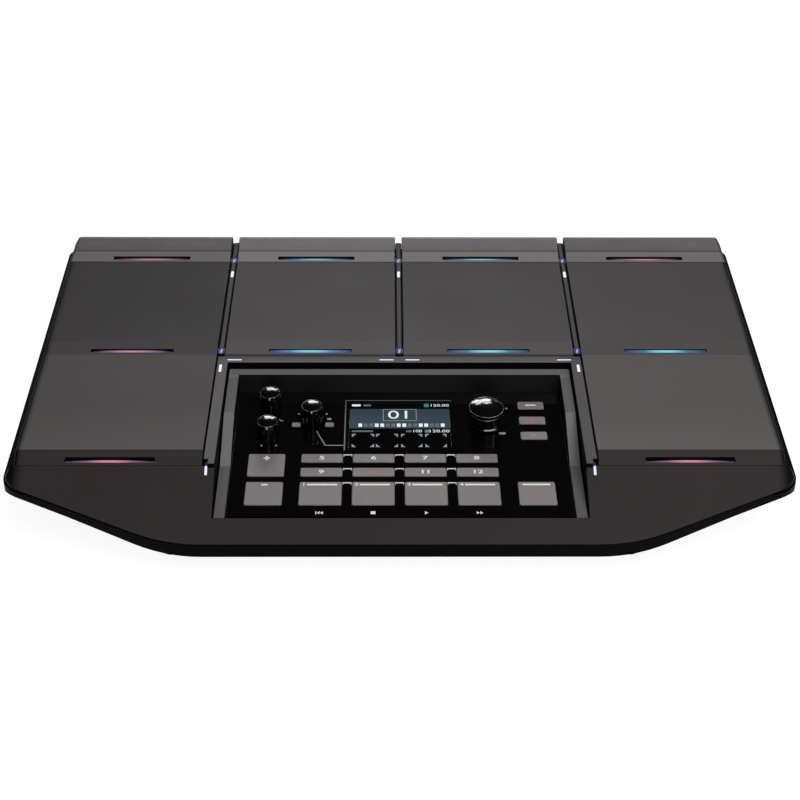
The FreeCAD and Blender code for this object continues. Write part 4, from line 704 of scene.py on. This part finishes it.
for i in range(4):
    button = "track_button_%d" % (i + 1)
    x0, x1, v0, v1, w = cap(button)
    numeral("number_%d" % (i + 1), str(i + 1), x0 + 2.6, v1 - 2.6, w, 2.6, "print", body_of(button), 1.3, 0.1)
    press_mark("bar_mark_%d" % (i + 1), button, [block(x0 + 4.6, x1 - 2.8, v1 - 3.5, v1 - 1.9)])
for row, start in (("upper_button", 5), ("lower_button", 9)):
    for i in range(4):
        button = "%s_%d" % (row, i + 1)
        x0, x1, v0, v1, w = cap(button)
        cx, cv = (x0 + x1) / 2, (v0 + v1) / 2
        if row == "lower_button" and i == 1:
            press_mark("record_mark", button, [ring(cx, cv, 1.5)], "red_print")
        else:
            numeral("number_%d" % (start + i), str(start + i), cx, cv, w, 3.4, "print", body_of(button),
                    1.5, 0.13)
x0, x1, v0, v1, w = cap("plus_button")
cx, cv = (x0 + x1) / 2, v1 - 4.2
press_mark("plus_mark", "plus_button", [block(cx - 2.0, cx - 0.7, cv - 0.7, cv + 0.7),
                                        block(cx - 0.7, cx + 0.7, cv - 2.1, cv + 2.1),
                                        block(cx + 0.7, cx + 2.0, cv - 0.7, cv + 0.7)])
x0, x1, v0, v1, w = cap("minus_button")
cx, cv = (x0 + x1) / 2, v1 - 2.8
press_mark("minus_mark", "minus_button", [block(cx - 2.0, cx + 2.0, cv - 0.75, cv + 0.75)])
x0, x1, v0, v1, w = cap("function_button")
cx = (x0 + x1) / 2
press_mark("function_mark", "function_button", [block(cx - 8.5, cx + 8.5, v1 - 3.4, v1 - 1.9)])
for i in range(3):
    button = "menu_button_%d" % (i + 1)
    x0, x1, v0, v1, w = cap(button)
    cx, cv = (x0 + x1) / 2, (v0 + v1) / 2
    outline = ([(cx - 1.6, cv - 1.7), (cx + 2.0, cv), (cx - 1.6, cv + 1.7)], ring(cx, cv, 1.6),
               block(cx - 3.4, cx + 3.4, cv - 0.7, cv + 0.7))[i]
    press_mark("menu_mark_%d" % (i + 1), button, [outline], ("faint_print", "red_print", "print")[i])

def triangle(x, v, size, hand):
    """Outline of a triangle that points to the right, or to the left where hand is -1."""
    points = [(x, v - size), (x + size * 1.35 * hand, v), (x, v + size)]
    return points if hand > 0 else points[::-1]


keys = [cap("track_button_%d" % (i + 1)) for i in range(4)]
back_x, stop_x, play_x, forward_x = [(key[0] + key[1]) / 2 for key in keys]
mark_v = -37.6
symbols = [triangle(back_x + 0.1, mark_v, 1.3, -1), triangle(back_x + 2.2, mark_v, 1.3, -1),
           block(back_x - 2.4, back_x - 1.8, mark_v - 1.3, mark_v + 1.3),
           block(stop_x - 1.4, stop_x + 1.4, mark_v - 1.3, mark_v + 1.3),
           triangle(play_x - 1.1, mark_v, 1.5, 1),
           triangle(forward_x - 2.2, mark_v, 1.3, 1), triangle(forward_x - 0.1, mark_v, 1.3, 1)]
prisms("transport_marks", symbols, PANEL_W, "print")

links = []
stubs = []
for row in ("upper_button", "lower_button", "track_button"):
    for i in range(3):
        left = cap("%s_%d" % (row, i + 1))
        right = cap("%s_%d" % (row, i + 2))
        links.append(block(left[1] + 0.35, right[0] - 0.35, left[3] - 0.9, left[3] - 0.05))
        stubs.append(block(left[1] + 0.35, left[1] + 0.9, left[3] - 2.4, left[3] - 0.95))
        stubs.append(block(right[0] - 0.9, right[0] - 0.35, left[3] - 2.4, left[3] - 0.95))
prisms("row_links", links, PANEL_W, "print")
prisms("row_link_ends", stubs, PANEL_W, "faint_print")


def stroke(points, width):
    """Outlines of a line of even width through the points."""
    outlines = []
    for (ax, av), (bx, bv) in zip(points, points[1:]):
        length = math.hypot(bx - ax, bv - av)
        nx, nv = -(bv - av) / length * width / 2, (bx - ax) / length * width / 2
        outlines.append([(ax - nx, av - nv), (bx - nx, bv - nv), (bx + nx, bv + nv), (ax + nx, av + nv)])
    return outlines


leader = stroke([(-52.7, 40.9), (-46.9, 26.6)], 0.75) + stroke([(-46.9, 26.6), (-35.4, 26.6)], 0.7)
prisms("page_leader", leader, PANEL_W, "faint_print")

dots = ((-86.8, 26.4), (-77.6, 26.4), (-64.7, 58.8), (-47.0, 58.8), (69.0, 64.7))
marks = [ring(x, v, 0.75, 12) for x, v in dots]
marks += stroke([(-77.0, 53.6), (-75.6, 51.2)], 0.7) + stroke([(-75.6, 51.2), (-74.4, 52.2)], 0.7)
marks += [block(-46.4, -43.8, 52.6, 54.6), rounded(62.6, 67.0, 37.6, 39.8, 0.9)]
prisms("panel_marks", marks, PANEL_W, "faint_print")


def rim_highlight_ring(name, node, radius, w, thickness):
    """Thin polished metal ring round a turned knob, at a level of the sloping frame: a painted highlight that
    stands for the bright line along the knob's edge, and that catches the lamps.
    """
    low, high = sloped_box(node)
    cx, cv = (low[0] + high[0]) / 2, (low[1] + high[1]) / 2
    mesh = bpy.data.meshes.new(name)
    shape = bmesh.new()
    loops = []
    for i in range(64):
        turn = 2 * math.pi * i / 64
        loop = []
        for j in range(8):
            lean = 2 * math.pi * j / 8
            reach = radius + thickness * math.cos(lean)
            loop.append(shape.verts.new(on_slope(cx + reach * math.cos(turn), cv + reach * math.sin(turn),
                                                 w + thickness * math.sin(lean))))
        loops.append(loop)
    for i in range(64):
        for j in range(8):
            face = shape.faces.new((loops[i][j], loops[(i + 1) % 64][j],
                                    loops[(i + 1) % 64][(j + 1) % 8], loops[i][(j + 1) % 8]))
            face.smooth = True
    bmesh.ops.recalc_face_normals(shape, faces=shape.faces)
    shape.to_mesh(mesh)
    shape.free()
    return add_piece(name, mesh, "glint", body_of(node))


KNOB_RIM = -4.6          # level of the edge between a knob's top and its skirt, in millimetres
# Rings that stand in for the highlight lines along the knobs' rims and the dial's groove: painted highlights
for name in ("volume_knob", "phones_knob", "value_knob"):
    low, high = sloped_box(name)
    cx, cv = (low[0] + high[0]) / 2, (low[1] + high[1]) / 2
    rim_highlight_ring(name + "_rim", name, 6.2, KNOB_RIM, 0.14)
    prisms(name + "_pointer", [block(cx - 0.35, cx + 0.35, cv - 6.5, cv - 6.2)], KNOB_RIM - 1.6, "print",
           body_of(name), 1.5)
rim_highlight_ring("dial_knob_rim", "dial_knob", 10.85, KNOB_RIM, 0.16)
rim_highlight_ring("dial_knob_groove", "dial_knob", 10.2, KNOB_RIM - 3.2, 0.16)


# Floor, light and camera

floor_nodes = Nodes("floor_paper")
path = floor_nodes.add("ShaderNodeLightPath")
mirrored = floor_nodes.math("ADD", path.outputs["Is Glossy Ray"], path.outputs["Is Transmission Ray"])
seen = floor_nodes.math("ADD", path.outputs["Is Camera Ray"], mirrored, clamp=True)
floor_nodes.shader.inputs["Base Color"].default_value = (0.16, 0.16, 0.16, 1)
floor_nodes.shader.inputs["Roughness"].default_value = 1.0
floor_nodes.shader.inputs["Specular IOR Level"].default_value = 0.0
floor_nodes.shader.inputs["Emission Color"].default_value = (1, 1, 1, 1)
floor_nodes.link(floor_nodes.math("MULTIPLY", seen, 0.94), floor_nodes.shader.inputs["Emission Strength"])
floor_mesh = bpy.data.meshes.new("floor")
REACH = 8.0              # half the width of the floor, in metres
WALL = 2.2               # height of the pale walls round it
corners = [(-REACH, -REACH, 0), (REACH, -REACH, 0), (REACH, REACH, 0), (-REACH, REACH, 0)]
corners += [(x, y, WALL) for x, y, z in corners]
floor_mesh.from_pydata(corners, [], [(0, 1, 2, 3), (0, 4, 5, 1), (1, 5, 6, 2), (2, 6, 7, 3), (3, 7, 4, 0)])
floor = bpy.data.objects.new("floor", floor_mesh)
floor.data.materials.append(floor_nodes.material)
bpy.context.scene.collection.objects.link(floor)


def area_light(name, place, target, width, height, power):
    data = bpy.data.lights.new(name, "AREA")
    data.shape = "RECTANGLE"
    data.size = width
    data.size_y = height
    data.energy = power
    light = bpy.data.objects.new(name, data)
    light.location = place
    light.rotation_euler = (Vector(target) - Vector(place)).to_track_quat("-Z", "Y").to_euler()
    bpy.context.scene.collection.objects.link(light)


area_light("key_soft", (0.6, -1.0, 1.45), (0, 0, 0.05), 1.6, 1.0, 29.0)
area_light("rear_soft", (-0.05, 1.7, 0.72), (0, 0, 0.05), 0.8, 1.25, 19.0)

world = bpy.data.worlds.new("studio")
world.use_nodes = True
world.node_tree.nodes["Background"].inputs["Color"].default_value = (1, 1, 1, 1)
world.node_tree.nodes["Background"].inputs["Strength"].default_value = 0.02
bpy.context.scene.world = world

camera_data = bpy.data.cameras.new("camera")
camera_data.lens = 72.0
camera_data.sensor_width = 36.0
camera = bpy.data.objects.new("camera", camera_data)
turn = Matrix.Rotation(-0.00975, 4, "Z") @ Matrix.Rotation(math.radians(60.0), 4, "X")
roll = Matrix.Rotation(0.005, 4, "Z")
camera.matrix_world = Matrix.Translation(Vector((-8.5, -922.3, 565.2)) * MM) @ turn @ roll
bpy.context.scene.collection.objects.link(camera)
bpy.context.scene.camera = camera
bpy.context.scene.view_settings.view_transform = "Standard"
